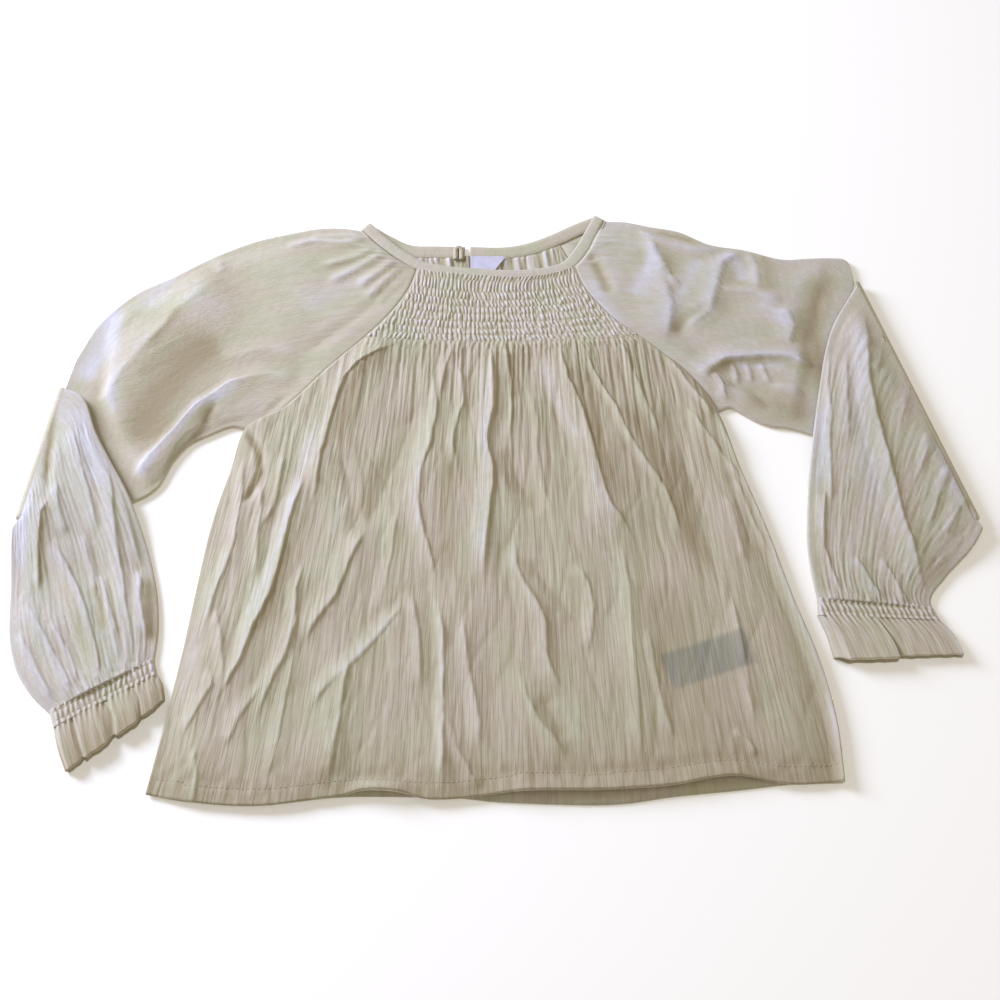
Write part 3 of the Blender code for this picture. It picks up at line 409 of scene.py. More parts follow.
FOREARM_LEFT_FOLDS = [
    Fold(
        ((257, 152), (256, 112), (253, 82), (255, 50), (259, 20), (266, -22), (270, -46), (273, -68),
         (278, -88)), 3.6, 30.8, 12,
    ),
    Fold(((225, 48), (223, 20), (222, 0), (222, -16)), 1.9, 5.6, 6),
    Fold(((219, -4), (215, -30), (213, -50), (217, -70), (222, -84)), 2.2, 5.6, 8),
    Fold(((229, 104), (226, 70), (226, 38)), 1.9, 12.6, 6),
    Fold(((241, 100), (238, 60), (236, 26)), 1.5, 9.8, 9),
    Fold(((232, -56), (240, -74), (248, -88)), 1.9, 7, 8),
    Fold(((249, -58), (258, -76), (263, -90)), 1.4, 5.6, 7),
    Fold(((272, 120), (264, 96), (257, 76)), 1.7, 7, 8),
    Fold(((284, 74), (274, 50), (267, 28)), 1.6, 7, 8),
    Fold(((294, 40), (284, 14), (275, -8)), 1.5, 7, 8),
    Fold(((302, 12), (290, -16), (283, -36)), 1.5, 7, 8),
    Fold(((311, -12), (300, -28), (291, -44)), 1.3, 5.6, 7),
]

# Painted shade on the cloth, or painted light where the height is negative: the height is a share of the
# tint.
Shade = namedtuple("Shade", "points height left right lip", defaults=(0.0,))
FRONT_PAINTED_SHADING = [
    Shade(((-74, 106), (-86, 98), (-97, 85), (-103, 62), (-108, 40), (-106, 22)), 0.8, 11, 6),
    Shade(((50, 98), (58, 72), (66, 44), (74, 10), (84, -22)), 0.6, 15, 9),
    Shade(((84, 66), (100, 32), (112, 2), (122, -30), (130, -66)), 0.8, 12, 9),
    Shade(((118, 30), (126, -10), (131, -40), (136, -74)), 0.6, 5, 9),
    Shade(((9, 104), (10, 85), (12, 64)), 0.8, 6, 5),
    Shade(((0, 26), (4, 6), (12, -12)), 0.5, 9, 5),
    Shade(((-136, -40), (-142, -70), (-149, -98), (-158, -120)), 0.75, 9, 4),
    Shade(((-34, 30), (-33, -5), (-32, -40), (-36, -76)), 0.5, 10, 8),
    Shade(((14, -52), (20, -76), (31, -95), (34, -115), (36, -135), (41, -150)), 0.5, 5, 4),
    Shade(((-76, 20), (-84, -8), (-88, -32)), 0.5, 6, 12),
    Shade(((-172, 40), (-163, 27), (-160, 8), (-166, -8), (-170, -18)), 1.0, 4, 4),
    Shade(((22, -158), (32, -176), (40, -194)), 0.45, 5, 5),
    Shade(((100, -70), (114, -130), (120, -196)), 0.35, 34, 26),
    Shade(((-102, -192), (-104, -206), (-105, -218)), 0.6, 4, 8),
    Shade(((-117, 60), (-127, 28), (-138, -20), (-148, -60), (-156, -90), (-166, -120)), -0.48, 9, 12),
    Shade(((-5, 100), (-9, 50), (-10, 0), (-10, -40), (-12, -78)), -0.48, 5, 10),
    Shade(((30, 104), (36, 76), (47, 48), (60, 24)), -0.48, 10, 10),
    Shade(((62, 20), (70, -30), (74, -90), (76, -140)), -0.42, 16, 14),
    Shade(((-48, 60), (-52, 20), (-56, -16), (-50, -50)), -0.3, 4, 7),
    Shade(((-102, 0), (-106, -40), (-116, -80)), -0.24, 10, 12),
    Shade(((6, -12), (10, -40), (22, -80), (26, -110)), -0.24, 6, 12),
    Shade(((-60, -100), (-86, -126), (-104, -146)), -0.3, 4, 18),
    Shade(((-30, -120), (-24, -160), (-18, -190)), -0.24, 9, 12),
    Shade(((-180, -40), (-190, -100), (-200, -170)), -0.24, 12, 14),
    Shade(((40, -130), (46, -165), (52, -190)), -0.24, 10, 12),
]
RIGHT_PAINTED_SHADING = [
    Shade(((-196, 124), (-214, 100), (-232, 66), (-250, 24)), 1.1, 34, 28),
    Shade(((-250, 84), (-232, 94), (-216, 104)), 0.5, 10, 10),
    Shade(((-226, 144), (-236, 122), (-244, 106)), 0.8, 8, 3),
    Shade(((-194, 60), (-198, 48), (-208, 32)), 0.9, 6, 5),
    Shade(((-90, 190), (-108, 182), (-124, 176)), 0.5, 3, 3),
    Shade(((-272, 150), (-274, 110), (-288, 76)), -0.9, 14, 20),
    Shade(((-226, 200), (-236, 168), (-250, 138)), -0.5, 14, 16),
    Shade(((-176, 76), (-204, 58), (-226, 26), (-243, 0)), -0.7, 5, 12),
    Shade(((-92, 172), (-116, 158), (-140, 140)), -0.35, 22, 18),
]
LEFT_PAINTED_SHADING = [
    Shade(((240, 176), (230, 150), (222, 124), (224, 96), (222, 70)), 1.0, 9, 18),
    Shade(((166, 68), (196, 60), (216, 52)), 0.7, 18, 18),
    Shade(((192, 194), (193, 176), (192, 156)), 0.5, 10, 9),
    Shade(((114, 204), (120, 186), (126, 168)), 0.6, 7, 4),
    Shade(((68, 184), (74, 172), (80, 154)), 0.5, 6, 6),
    Shade(((112, 212), (130, 208), (146, 203)), 0.6, 6, 4),
    Shade(((142, 86), (150, 92), (166, 96)), 0.8, 3, 4),
    Shade(((94, 150), (104, 166), (112, 190), (120, 200)), -0.7, 8, 12),
    Shade(((118, 128), (126, 146), (140, 176), (150, 190)), -0.5, 10, 10),
    Shade(((160, 190), (170, 186), (176, 164)), -0.7, 10, 9),
    Shade(((160, 92), (184, 95), (204, 94)), -0.7, 5, 6),
    Shade(((182, 150), (196, 140), (204, 124)), -0.4, 12, 10),
    Shade(((66, 170), (76, 140), (90, 118)), -0.4, 12, 12),
]
FOREARM_RIGHT_PAINTED_SHADING = [
    Shade(((-305, 72), (-303, 46), (-302, 20), (-300, 0)), 1.1, 5, 4),
    Shade(((-297, -16), (-298, -44), (-295, -80)), 0.9, 6, 4),
    Shade(((-284, -72), (-272, -96), (-262, -120), (-254, -142)), 0.4, 8, 5),
    Shade(((-262, -76), (-256, -92), (-251, -110)), 0.6, 6, 4),
    Shade(((-226, -70), (-224, -94), (-219, -120)), 1.0, 8, 5),
    Shade(((-288, 60), (-278, 30), (-262, -10)), -0.5, 14, 12),
    Shade(((-313, 20), (-312, -20), (-310, -70)), -0.6, 7, 8),
]
FOREARM_LEFT_PAINTED_SHADING = [
    Shade(((259, 84), (258, 54), (263, 14), (269, -14), (275, -46), (281, -80)), 0.45, 10, 3),
    Shade(((212, -30), (210, -60), (212, -86)), 0.4, 7, 7),
    Shade(((252, 130), (248, 90), (246, 40), (252, -10), (258, -40)), -0.35, 7, 14),
    Shade(((222, 60), (218, 20), (214, -10)), -0.5, 6, 8),
    Shade(((296, 32), (302, 4), (308, -18)), -0.5, 14, 12),
]

Label = namedtuple("Label", "x y width depth turn slant")
NECK_LABEL = Label(-7, 180.5, 25.4, 18.5, 0, 12)
CARE_LABEL = Label(133, -130, 56, 25, 19, 0)
LOOP_X, LOOP_Y = -28.6, 193.5
LOOP_WIDTH, LOOP_DEPTH, LOOP_CORD = 6.6, 13.0, 2.4

# Panels of the frills: where each begins and ends across the frill, as shares of its width, and its height.
RIGHT_PANELS = ((0.02, 0.2, 2.2), (0.18, 0.5, 3.2), (0.5, 0.8, 3.8), (0.76, 0.99, 2.6))
LEFT_PANELS = ((0.0, 0.55, 1.6), (0.5, 0.99, 4.0))

SMOCK_ROWS = 9
SMOCK_ROW_GAP = 6.6
RIB_PITCH = 3.0  # of the smocked ribs
SMOCKED_WIDTH = 152  # of the yoke about the middle of its height
CUFF_RIB_PITCH = 3.6
LIP_WIDTH = 1.4  # of the crisp drop beside a crease
LEAN_REACH = 4.0  # how far from its crest a crease leans over
STITCH_INSET = 1.2  # of the hem's stitches from its upper edge
SLEEVE_GIRTH = 380
COARSE = 4  # rows and columns of a fine outer grid to each one of the grid under it
UPWARDS = np.array([0.0, 0.0, 1.0])


# ---------------------------------------------------------------- reading the tables


def read(rows, field, place):
    """A named column between its rows, on a Catmull-Rom curve: a cubic through all rows whose slope at each
    row is half the step from the row before it to the row after it."""
    values = np.array([getattr(row, field) for row in rows], float)
    place = np.clip(np.asarray(place, float), 0, len(values) - 1)
    k = np.minimum(place.astype(int), len(values) - 2)
    f = place - k
    padded = np.concatenate([[2 * values[0] - values[1]], values, [2 * values[-1] - values[-2]]])
    a, b, c, d = (padded[k + step] for step in range(4))
    return b + 0.5 * f * (c - a + f * (2 * a - 5 * b + 4 * c - d + f * (3 * (b - c) + d - a)))


def cut_columns(cuts, place):
    """Columns of a sleeve's section table at many places along it, each as a column with a row for each
    place."""
    return [read(cuts, field, place)[:, None] for field in Cut._fields]


def ramp(value):
    """3t^2 - 2t^3 of the value held between 0 and 1: a smooth step."""
    value = np.clip(value, 0, 1)
    return value * value * (3 - 2 * value)


def bump_at(value, reach):
    """exp(-(value / reach)^2): 1 at zero, and near 0 from about twice the reach."""
    return np.exp(-((value / reach) ** 2))


def travelled(path):
    """Distance along a path of points, from 0 at its first point."""
    return np.concatenate([[0], np.cumsum(np.linalg.norm(np.diff(path, axis=0), axis=1))])


def noise(x, y, seed):
    """Smooth random ripples between about -1 and 1: a random slope at each corner of a unit lattice, and the
    four slopes around a point blended with 6t^5 - 15t^4 + 10t^3."""
    angles = np.random.default_rng(seed).uniform(0, 2 * np.pi, (64, 64))
    column, row = np.floor(x).astype(int), np.floor(y).astype(int)
    fx, fy = x - column, y - row

    def slope(i, j):
        angle = angles[(column + i) % 64, (row + j) % 64]
        return np.cos(angle) * (fx - i) + np.sin(angle) * (fy - j)

    wx = fx**3 * (fx * (fx * 6 - 15) + 10)
    wy = fy**3 * (fy * (fy * 6 - 15) + 10)
    low = slope(0, 0) + wx * (slope(1, 0) - slope(0, 0))
    high = slope(0, 1) + wx * (slope(1, 1) - slope(0, 1))
    return 1.5 * (low + wy * (high - low))


def creases(x, y, seed, narrow=3.2):
    """Flat puffs (1) between narrow creases (0), which lie where smooth noise changes its sign."""
    return np.minimum(np.abs(noise(x, y, seed)) * narrow, 1) ** 0.75


def crinkle(s, t, pitch, length, seed):
    """Crinkled gauze: puffs between narrow creases that run along the cloth, with a finer set between
    them."""
    wander = 0.4 * noise(s / (4 * pitch), t / length, seed + 7)
    coarse = creases(s / pitch + wander, t / length, seed) * (0.8 + 0.4 * noise(s / 20, t / 30, seed + 2))
    fine = creases(s / (0.45 * pitch) + wander, t / (0.5 * length), seed + 1, 2.2)
    return 0.8 * coarse + 0.45 * fine - 0.7


def beside_line(line, x, y):
    """Of places beside a line of points: the distance from it, the side (positive on its left) and the
    share of its length at the nearest point."""
    runs = np.diff(line, axis=0)
    lengths = np.hypot(runs[:, 0], runs[:, 1])
    best = np.full(x.shape, np.inf)
    side, share = np.zeros_like(x), np.zeros_like(x)
    for k, (run_x, run_y) in enumerate(runs):
        along = np.clip(((x - line[k, 0]) * run_x + (y - line[k, 1]) * run_y) / lengths[k] ** 2, 0, 1)
        off_x, off_y = x - line[k, 0] - along * run_x, y - line[k, 1] - along * run_y
        apart = off_x**2 + off_y**2
        closer = apart < best
        best = np.where(closer, apart, best)
        side = np.where(closer, run_x * off_y - run_y * off_x, side)
        share = np.where(closer, (lengths[:k].sum() + along * lengths[k]) / lengths.sum(), share)
    return np.sqrt(best), side, share


def fold_field(folds, x, y):
    """(height, lean) of the creases at a place. Beside its line a crease falls off as (1 - d / reach)^1.3
    with the distance d, which leaves nearly flat planes on both sides of a crisp crest, and on its left a
    share of the height, the lip, drops within LIP_WIDTH. Each end fades in over a fifth of the length.
    Creases add as the cube root of the sum of their cubes, so that two that meet don't pile up. The place
    is moved by a ripple first, which makes the lines uneven. The lean carries a crest over its own lip."""
    x = x + 1.2 * noise(x / 30, y / 46, 5) + 0.5 * noise(x / 6, y / 12, 6)
    y = y + 1.6 * noise(x / 24, y / 24, 8)
    ridge, trough, lean = np.zeros_like(x), np.zeros_like(x), np.zeros_like(x)
    for fold in folds:
        line = np.array(fold.points, float)
        widest = max(fold.left, fold.right)
        low, high = line.min(0) - widest, line.max(0) + widest
        near = (x > low[0]) & (x < high[0]) & (y > low[1]) & (y < high[1])
        if not near.any():
            continue
        far, side, share = beside_line(line, x[near], y[near])
        slope = np.clip(1 - far / np.where(side > 0, fold.left, fold.right), 0, 1) ** 1.3
        drop = np.where(side > 0, fold.lip, 0.0)
        profile = (1 - drop) * slope + drop * np.clip(1 - far / LIP_WIDTH, 0, 1)
        rise = abs(fold.height) * profile * ramp(5 * share + 0.1) * ramp(5 * (1 - share) + 0.1)
        if fold.height > 0:
            ridge[near] += rise**3
            toward = np.sign(line[0, 1] - line[-1, 1]) or 1.0
            lean[near] += 0.6 * fold.lip * toward * rise * np.clip(1 - far / LEAN_REACH, 0, 1)
        else:
            trough[near] += rise**3
    return np.cbrt(ridge) - np.cbrt(trough), lean


# ---------------------------------------------------------------- making meshes


def padded(values, axis, before, after, wraps=False):
    """Values with more rows or columns at both ends: the far end's where the grid wraps, else the edge's
    own."""
    pad = [(0, 0), (0, 0)]
    pad[axis] = (before, after)
    return np.pad(values, pad, mode="wrap" if wraps and axis == 1 else "edge")


def blur(values, across, along):
    """Box average over a window of 2 * across + 1 columns and 2 * along + 1 rows, from running sums."""
    for axis, half in ((1, across), (0, along)):
        total = np.cumsum(padded(values, axis, half + 1, half), axis=axis)
        size = 2 * half + 1
        upper = np.take(total, np.arange(size, total.shape[axis]), axis=axis)
        lower = np.take(total, np.arange(0, total.shape[axis] - size), axis=axis)
        values = (upper - lower) / size
    return values


def depth_mask(height, across, along, scale):
    """How far a place stands above (+) or lies below (-) the cloth around it, as a share of scale."""
    return np.clip((height - blur(height, across, along)) / scale, -1, 1)


def lowest(values, step, wraps=False):
    """The smallest value within a step of every step-th row and column: the underside of a rough surface."""
    for axis in (0, 1):
        wide = padded(values, axis, step, step, wraps)
        places = np.arange(values.shape[axis])
        values = np.minimum.reduce([np.take(wide, places + k, axis=axis) for k in range(2 * step + 1)])
    return values[::step, ::step]


def points_at(x, y, z, step=1):
    """A grid of points from every step-th x and y, with z given on that coarser grid."""
    return np.stack([x[::step, ::step], y[::step, ::step], z], -1)


def zip_chains(fine, coarse, step):
    """Triangles between a fine edge and the coarse edge under it: one for each fine edge, to the nearest
    coarse corner, and one for each coarse edge."""
    i = np.arange(len(fine) - 1)
    nearest = (i + step // 2) // step
    first = np.stack([fine[i + 1], fine[i], coarse[nearest]], -1)
    k = np.arange(len(coarse) - 1)
    second = np.stack([fine[(k + 1) * step - step // 2], coarse[k], coarse[k + 1]], -1)
    return np.concatenate([first, second])


def grid_quads(index):
    """Quads of a grid of corner numbers."""
    corners = index[:-1, :-1], index[:-1, 1:], index[1:, 1:], index[1:, :-1]
    return np.stack(corners, -1).reshape(-1, 4)


def grid_of_numbers(shape, first=0):
    """Numbers counted up from the first, row by row."""
    return np.arange(shape[0] * shape[1]).reshape(shape) + first


def put_mesh(name, points, corner_point, corner_uv, quads, triangles, masks):
    """Puts points (metres), faces (as corner numbers) and point masks into a mesh object at the origin.
    Faces are turned round where the volume that they enclose comes out negative. No point lies below the
    surface that the blouse rests on."""
    loops = np.concatenate([quads.reshape(-1), triangles.reshape(-1)])
    split = np.concatenate([quads[:, [0, 1, 2]], quads[:, [0, 2, 3]], triangles])
    a, b, c = (points[corner_point[split[:, k]]] for k in range(3))
    if (np.cross(a, b) * c).sum() < 0:
        loops = np.concatenate([quads[:, ::-1].reshape(-1), triangles[:, ::-1].reshape(-1)])
    starts = np.concatenate([np.arange(len(quads)) * 4, len(quads) * 4 + np.arange(len(triangles)) * 3])
    points = np.maximum(points, (-np.inf, -np.inf, 0.0))
    mesh = bpy.data.meshes.new(name)
    mesh.vertices.add(len(points))
    mesh.vertices.foreach_set("co", points.astype(np.float32).ravel())
    mesh.loops.add(len(loops))
    mesh.loops.foreach_set("vertex_index", corner_point[loops].astype(np.int32))
    mesh.polygons.add(len(starts))
    mesh.polygons.foreach_set("loop_start", starts.astype(np.int32))
    mesh.update(calc_edges=True)
    layer = mesh.uv_layers.new(name="cloth")
    layer.data.foreach_set("uv", corner_uv[loops].astype(np.float32).ravel())
    for mask, values in masks.items():
        mesh.attributes.new(mask, "FLOAT", "POINT").data.foreach_set("value", values.astype(np.float32))
    mesh.shade_smooth()
    mesh.validate()
    piece = bpy.data.objects.new(name, mesh)
    bpy.context.scene.collection.objects.link(piece)
    return piece


def point_masks(depth, label, others):
    """The masks of a piece's outer points, then 0 for its others. depth paints shade below 0 and a highlight
    above 0 in the gauze finish.
    """
    label = np.zeros_like(depth) if label is None else label
    return {"depth": np.append(depth, np.zeros(others)), "label": np.append(label, np.zeros(others))}


def open_rim(quads, beyond):
    """Triangles that close the wall round every edge that only one quad has. Each corner's partner in the
    other layer is numbered `beyond` higher."""
    edges = np.stack([quads, np.roll(quads, -1, axis=1)], -1).reshape(-1, 2)
    key, back_key = edges[:, 0] * beyond + edges[:, 1], edges[:, 1] * beyond + edges[:, 0]
    a, b = edges[~np.isin(key, back_key)].T
    return np.concatenate([np.stack([b, a, a + beyond], -1), np.stack([b, a + beyond, b + beyond], -1)])


def cloth_piece(name, top, under, uv, depth, step, label=None, wraps=False, keep=None):
    """A closed wall between a fine outer grid and a grid under it that has every step-th row and column. uv
    has one column more than top where the grid wraps. keep leaves out quads, and needs a step of 1."""
    fine = grid_of_numbers(top.shape[:2])
    low = grid_of_numbers(under.shape[:2], fine.size)
    others = low.size
    if wraps:
        fine, low = (np.concatenate([grid, grid[:, :1]], 1) for grid in (fine, low))
    corner_point = np.append(fine, low)
    corner_uv = np.concatenate([uv.reshape(-1, 2), uv[::step, ::step].reshape(-1, 2)]) * MM
    upper = grid_of_numbers(fine.shape)
    lower = grid_of_numbers(low.shape, fine.size)
    top_quads, low_quads = grid_quads(upper), grid_quads(lower)
    if keep is None:
        chains = [(upper[0], lower[0]), (upper[-1, ::-1], lower[-1, ::-1])]
        if not wraps:
            chains += [(upper[:, -1], lower[:, -1]), (upper[::-1, 0], lower[::-1, 0])]
        rim = np.concatenate([zip_chains(a, b, step) for a, b in chains])
    else:
        top_quads, low_quads = top_quads[keep.ravel()], low_quads[keep.ravel()]
        rim = open_rim(top_quads, fine.size)
    quads = np.concatenate([top_quads, low_quads[:, ::-1]])
    points = np.concatenate([top.reshape(-1, 3), under.reshape(-1, 3)]) * MM
    masks = point_masks(depth, label, others)
    if keep is not None:
        used = np.unique(corner_point[np.append(quads, rim)])
        renumber = np.zeros(len(points), int)
        renumber[used] = np.arange(len(used))
        corner_point, points = renumber[corner_point], points[used]
        masks = {mask: values[used] for mask, values in masks.items()}
    return put_mesh(name, points, corner_point, corner_uv, quads, rim, masks)


def bar_piece(name, rings, travel, depth):
    """A solid bar from its rings of points (stations, around, xyz), with a fan of triangles at each end."""
    count, around = rings.shape[:2]
    ends = np.array([rings[0].mean(0), rings[-1].mean(0)])
    points = np.concatenate([rings.reshape(-1, 3), ends]) * MM
    index = grid_of_numbers((count, around))
    wrapped = np.concatenate([index, index[:, :1]], 1)
    corner_point = np.append(wrapped, [index.size, index.size + 1])
    along, round_it = np.meshgrid(travel, np.linspace(0, 1, around + 1), indexing="ij")
    girth = np.linalg.norm(np.diff(rings[count // 2], axis=0), axis=1).sum() * around / (around - 1)
    corner_uv = np.stack([along, round_it * girth], -1).reshape(-1, 2) * MM
    corner_uv = np.concatenate([corner_uv, np.zeros((2, 2))])
    corner = grid_of_numbers(wrapped.shape)
    first = np.stack([corner[0, 1:], corner[0, :-1], np.full(around, wrapped.size)], -1)
    last = np.stack([corner[-1, :-1], corner[-1, 1:], np.full(around, wrapped.size + 1)], -1)
    fans = np.concatenate([first, last])
    masks = point_masks(depth, None, len(ends))
    return put_mesh(name, points, corner_point, corner_uv, grid_quads(corner), fans, masks)


def dress(piece, finish, node):
    """Gives a piece its finish, makes it move with the blouse, and hides the CAD node that it stands for."""
    piece.data.materials.append(finish)
    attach(piece, "root")
    if node:
        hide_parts(node)
    return piece


# ---------------------------------------------------------------- body panels


def panel_plan(sections, u, v):
    """Places of a panel: straight lines between its two side edges, lowered by dip * 4u(1 - u)."""
    place = v * (len(sections) - 1)
    x = (1 - u) * read(sections, "left_x", place) + u * read(sections, "right_x", place)
    y = (1 - u) * read(sections, "left_y", place) + u * read(sections, "right_y", place)
    return x, y - 4 * u * (1 - u) * read(sections, "dip", place)


def bend_to_hem(sections, hem, u, v, x, y):
    """Moves the lowest third of a panel so that its edge follows its hem line."""
    low = np.clip(1 - v * 3, 0, 1) ** 2
    first = sections[0]
    x = x + low * (read(hem, "x", u * (len(hem) - 1)) - (1 - u) * first.left_x - u * first.right_x)
    y = y + low * (read(hem, "y", u * (len(hem) - 1)) - (1 - u) * first.left_y - u * first.right_y)
    return x, y


def from_sides(u, x):
    """Distance from the nearer side edge of a panel."""
    return np.minimum(u, 1 - u) * (x[:, -1:] - x[:, :1])


def smocking(x, y, u, row):
    """Height of the smocked ribs, from 0 to about 1. Across the cloth it is the square root of a sine, which
    makes round ribs and sharp slits. Rows of elastic lie at whole numbers of row: the ribs are flatter there,
    and each row sets them aside and leans them by its own amount."""
    fanned = (u - 0.5) * SMOCKED_WIDTH
    line = np.floor(row)
    aside = 0.35 * noise(x / 8.0, line * 3.7 + 0.5, 52) + 0.3 * np.sin(line * 12.9898)
    lean = (row - line - 0.5) * (0.35 + 0.5 * noise(x / 11, line * 2.3 + 0.5, 51))
    phase = (0.55 * x + 0.45 * fanned) / RIB_PITCH + 0.3 * noise(x / 14, y / 9, 31) + aside + lean
    uneven = 0.75 + 0.5 * noise(x / 3.6, row * 1.3, 53)
    swell = 0.5 + 0.5 * np.abs(np.sin(np.pi * row)) ** 0.5
    return np.sqrt(np.abs(np.sin(np.pi * phase))) * swell * uneven


def grain(x, y):
    """Position across the front's crinkles, in millimetres: upright at the middle of the front, and fanning
    out towards the hem as its side seams do."""
    return x / (1 + 0.00094 * (43 - y))


def label_shadow(x, y):
    """1 over the care label, which shows through the front, falling to 0 around its outline."""
    turn = np.radians(CARE_LABEL.turn)
    along = (x - CARE_LABEL.x) * np.cos(turn) + (y - CARE_LABEL.y) * np.sin(turn)
    across = (y - CARE_LABEL.y) * np.cos(turn) - (x - CARE_LABEL.x) * np.sin(turn)
    out = np.maximum(np.abs(along) - CARE_LABEL.width / 2, np.abs(across) - CARE_LABEL.depth / 2)
    return ramp(0.5 - out / 4.0) * (0.85 + 0.3 * noise(x / 9, y / 40, 91))


def front_height(y, edge):
    """Level of the front panel before its creases: low at its side seams, level with the sleeves at the
    raglan seams, and raised over the neck label."""
    at_side = ramp((46 - y) / 30)
    loft = 1 - at_side * (1 - ramp(edge / 26))
    return FRONT_EDGE + FRONT_LOFT * loft + NECK_LIFT * ramp((y - 60) / 90)


def below_smocking(settings, x, y, u):
    """The yoke's ribs carried on below the smocking, and pleats that fade out down the front."""
    seam = YOKE[0]
    below = np.maximum(seam.left_y - 4 * u * (1 - u) * seam.dip - y, 0)
    under_yoke = ramp((x - seam.left_x + 3) / 6) * ramp((seam.right_x + 3 - x) / 6)
    ribs = smocking(x, y, u, -below / SMOCK_ROW_GAP) * np.exp(-below / 9) * under_yoke
    s = grain(x, y)
    pleats = creases(s / 6.5, y / 120, 21, 2.6) + 0.6 * creases(s / 3.2, y / 70, 22, 2.0)
    return settings.smock_depth * ribs + 1.15 * pleats * np.exp(-below / 85) * (1 - np.exp(-below / 5))


def hem_relief(settings, x, y, above_hem, inside):
    """The turned hem: a little thicker than the cloth above it, drawn in and puckered along its stitches,
    with one stretch arched off the surface and another curled."""
    from_fold = above_hem - settings.hem_depth
    turned = ramp(1 - from_fold / 1.2)
    sewn = bump_at(from_fold + STITCH_INSET, 1.0)
    pucker = noise(grain(x, y) / 5.5, y / 9, 41) * np.exp(-(from_fold**2) / 130)
    arch = 5.5 * bump_at(x + 72, 17) * ramp(1 - above_hem / 15)
    curl = 2.6 * ramp((x + 10) / 30) * ramp((170 - x) / 30) * ramp(1 - above_hem / 13)
    return 0.4 * turned - 0.35 * sewn + 0.5 * pucker * inside + arch + curl


def build_skirt(settings, finish):
    """The front panel below the smocking. Its height is the level, plus the creases, plus crinkles that run
    with the grain from the smocking to the hem, plus gathers that fade out below the smocking."""
    u, v = np.meshgrid(np.linspace(0, 1, 100 * COARSE + 1), np.linspace(0, 1, 55 * COARSE + 1))
    x, y = panel_plan(SKIRT, u, v)
    x, y = bend_to_hem(SKIRT, FRONT_HEM, u, v, x, y)
    edge = from_sides(u, x)
    above_hem = y - read(FRONT_HEM, "y", u * (len(FRONT_HEM) - 1))
    s = grain(x, y)
    uv = np.stack([s, y], -1)
    folds, lean = fold_field(FRONT_FOLDS, x, y)
    inside = ramp(edge / 7)
    waves = 1.2 * noise(x / 46, y / 90, 3) + 0.7 * noise(s / 22, y / 70, 4)
    patches = creases(x / 15 + 0.8 * noise(x / 40, y / 60, 33), y / 80, 31, 4.0)
    fine = 0.55 * crinkle(s, y, 7.5, 90, 11) + 0.5 * patches
    side_roll = 3.8 * np.clip(1 - np.abs(edge - 1.5) / 8.5, 0, 1) * (u > 0.5) * ramp((60 - y) / 40)
    height = front_height(y, edge) + inside * (settings.fold_height * folds + waves)
    height = height + settings.crinkle_depth * fine * (0.3 + 0.7 * ramp(edge / 16)) * inside
    height = height + below_smocking(settings, x, y, u) * ramp(edge / 3) + side_roll * ramp(edge / 1.2)
    height = height - 1.4 * ramp(1 - above_hem / 22) * ramp(edge / 20)
    height = height + hem_relief(settings, x, y, above_hem, inside)
    height = np.maximum(height, FRONT_EDGE - 0.4)
    x = x + inside * lean * settings.fold_height
    y = y + 3.6 * np.exp(-(((x + 70) / 21) ** 4)) * ramp(1 - above_hem / 14)
    under = points_at(x, y, np.maximum(lowest(height, COARSE) - CLOTH, BACK_TOP + 0.2), COARSE)
    # Painted shade: the shade tables, 0.42 more near the hem, 0.15 over the whole front and up to 0.1 more
    # towards +x, taken off the relief's painted shade and highlight.
    shade = fold_field(FRONT_PAINTED_SHADING, x, y)[0] + 0.42 * ramp(1 - above_hem / 46)
    depth = depth_mask(height, 6, 4, 3.2) - shade - 0.15 - 0.1 * ramp((x + 60) / 160)
    top = points_at(x, y, height)
    piece = cloth_piece("front_skirt", top, under, uv, depth, COARSE, label_shadow(x, y))
    dress(piece, finish, "front")
    return top


def build_yoke(settings, finish):
    """The smocked yoke, drawn in by rows of elastic."""
    u, v = np.meshgrid(np.linspace(0, 1, 112 * COARSE + 1), np.linspace(0, 1, 30 * COARSE + 1))
    x, y = panel_plan(YOKE, u, v)
    neck = FRONT_CORNERS[0] + u * (FRONT_CORNERS[1] - FRONT_CORNERS[0])
    at_neck = ramp((v - 0.8) / 0.2)
    x = x + at_neck * (read(BAND_FRONT, "seam_x", neck) - x)
    y = y + at_neck * (read(BAND_FRONT, "seam_y", neck) + 1.2 - y)
    edge = from_sides(u, x)
    ribs = smocking(x, y, u, v * SMOCK_ROWS)
    waves = 0.6 * noise(x / 30, y / 40, 54) * ramp(v * 6)
    height = front_height(y, edge) + settings.smock_depth * ribs * ramp(edge / 3) + waves * ramp(edge / 8)
    under = points_at(x, y, lowest(height, COARSE) - CLOTH, COARSE)
    # Painted shade and highlight from the ribs' relief, with 0.08 more painted highlight over the whole yoke.
    depth = depth_mask(height, 6, 6, 1.1) + 0.08
    piece = cloth_piece("front_yoke", points_at(x, y, height), under, np.stack([x, y], -1), depth, COARSE)
    dress(piece, finish, "front")


def back_neck(u, field):
    """A column of the back's binding at a place across the back panel, on either side of its slit."""
    steps = len(BAND_BACK_RIGHT) - 1 - BACK_CORNERS[0]
    on_right = BACK_CORNERS[0] + np.clip(u / SLIT_SHARE[0], 0, 1) * steps
    on_left = np.clip((u - SLIT_SHARE[1]) / (1 - SLIT_SHARE[1]), 0, 1) * BACK_CORNERS[1]
    right, left = read(BAND_BACK_RIGHT, field, on_right), read(BAND_BACK_LEFT, field, on_left)
    return np.where(u <= SLIT_SHARE[0], right, left)


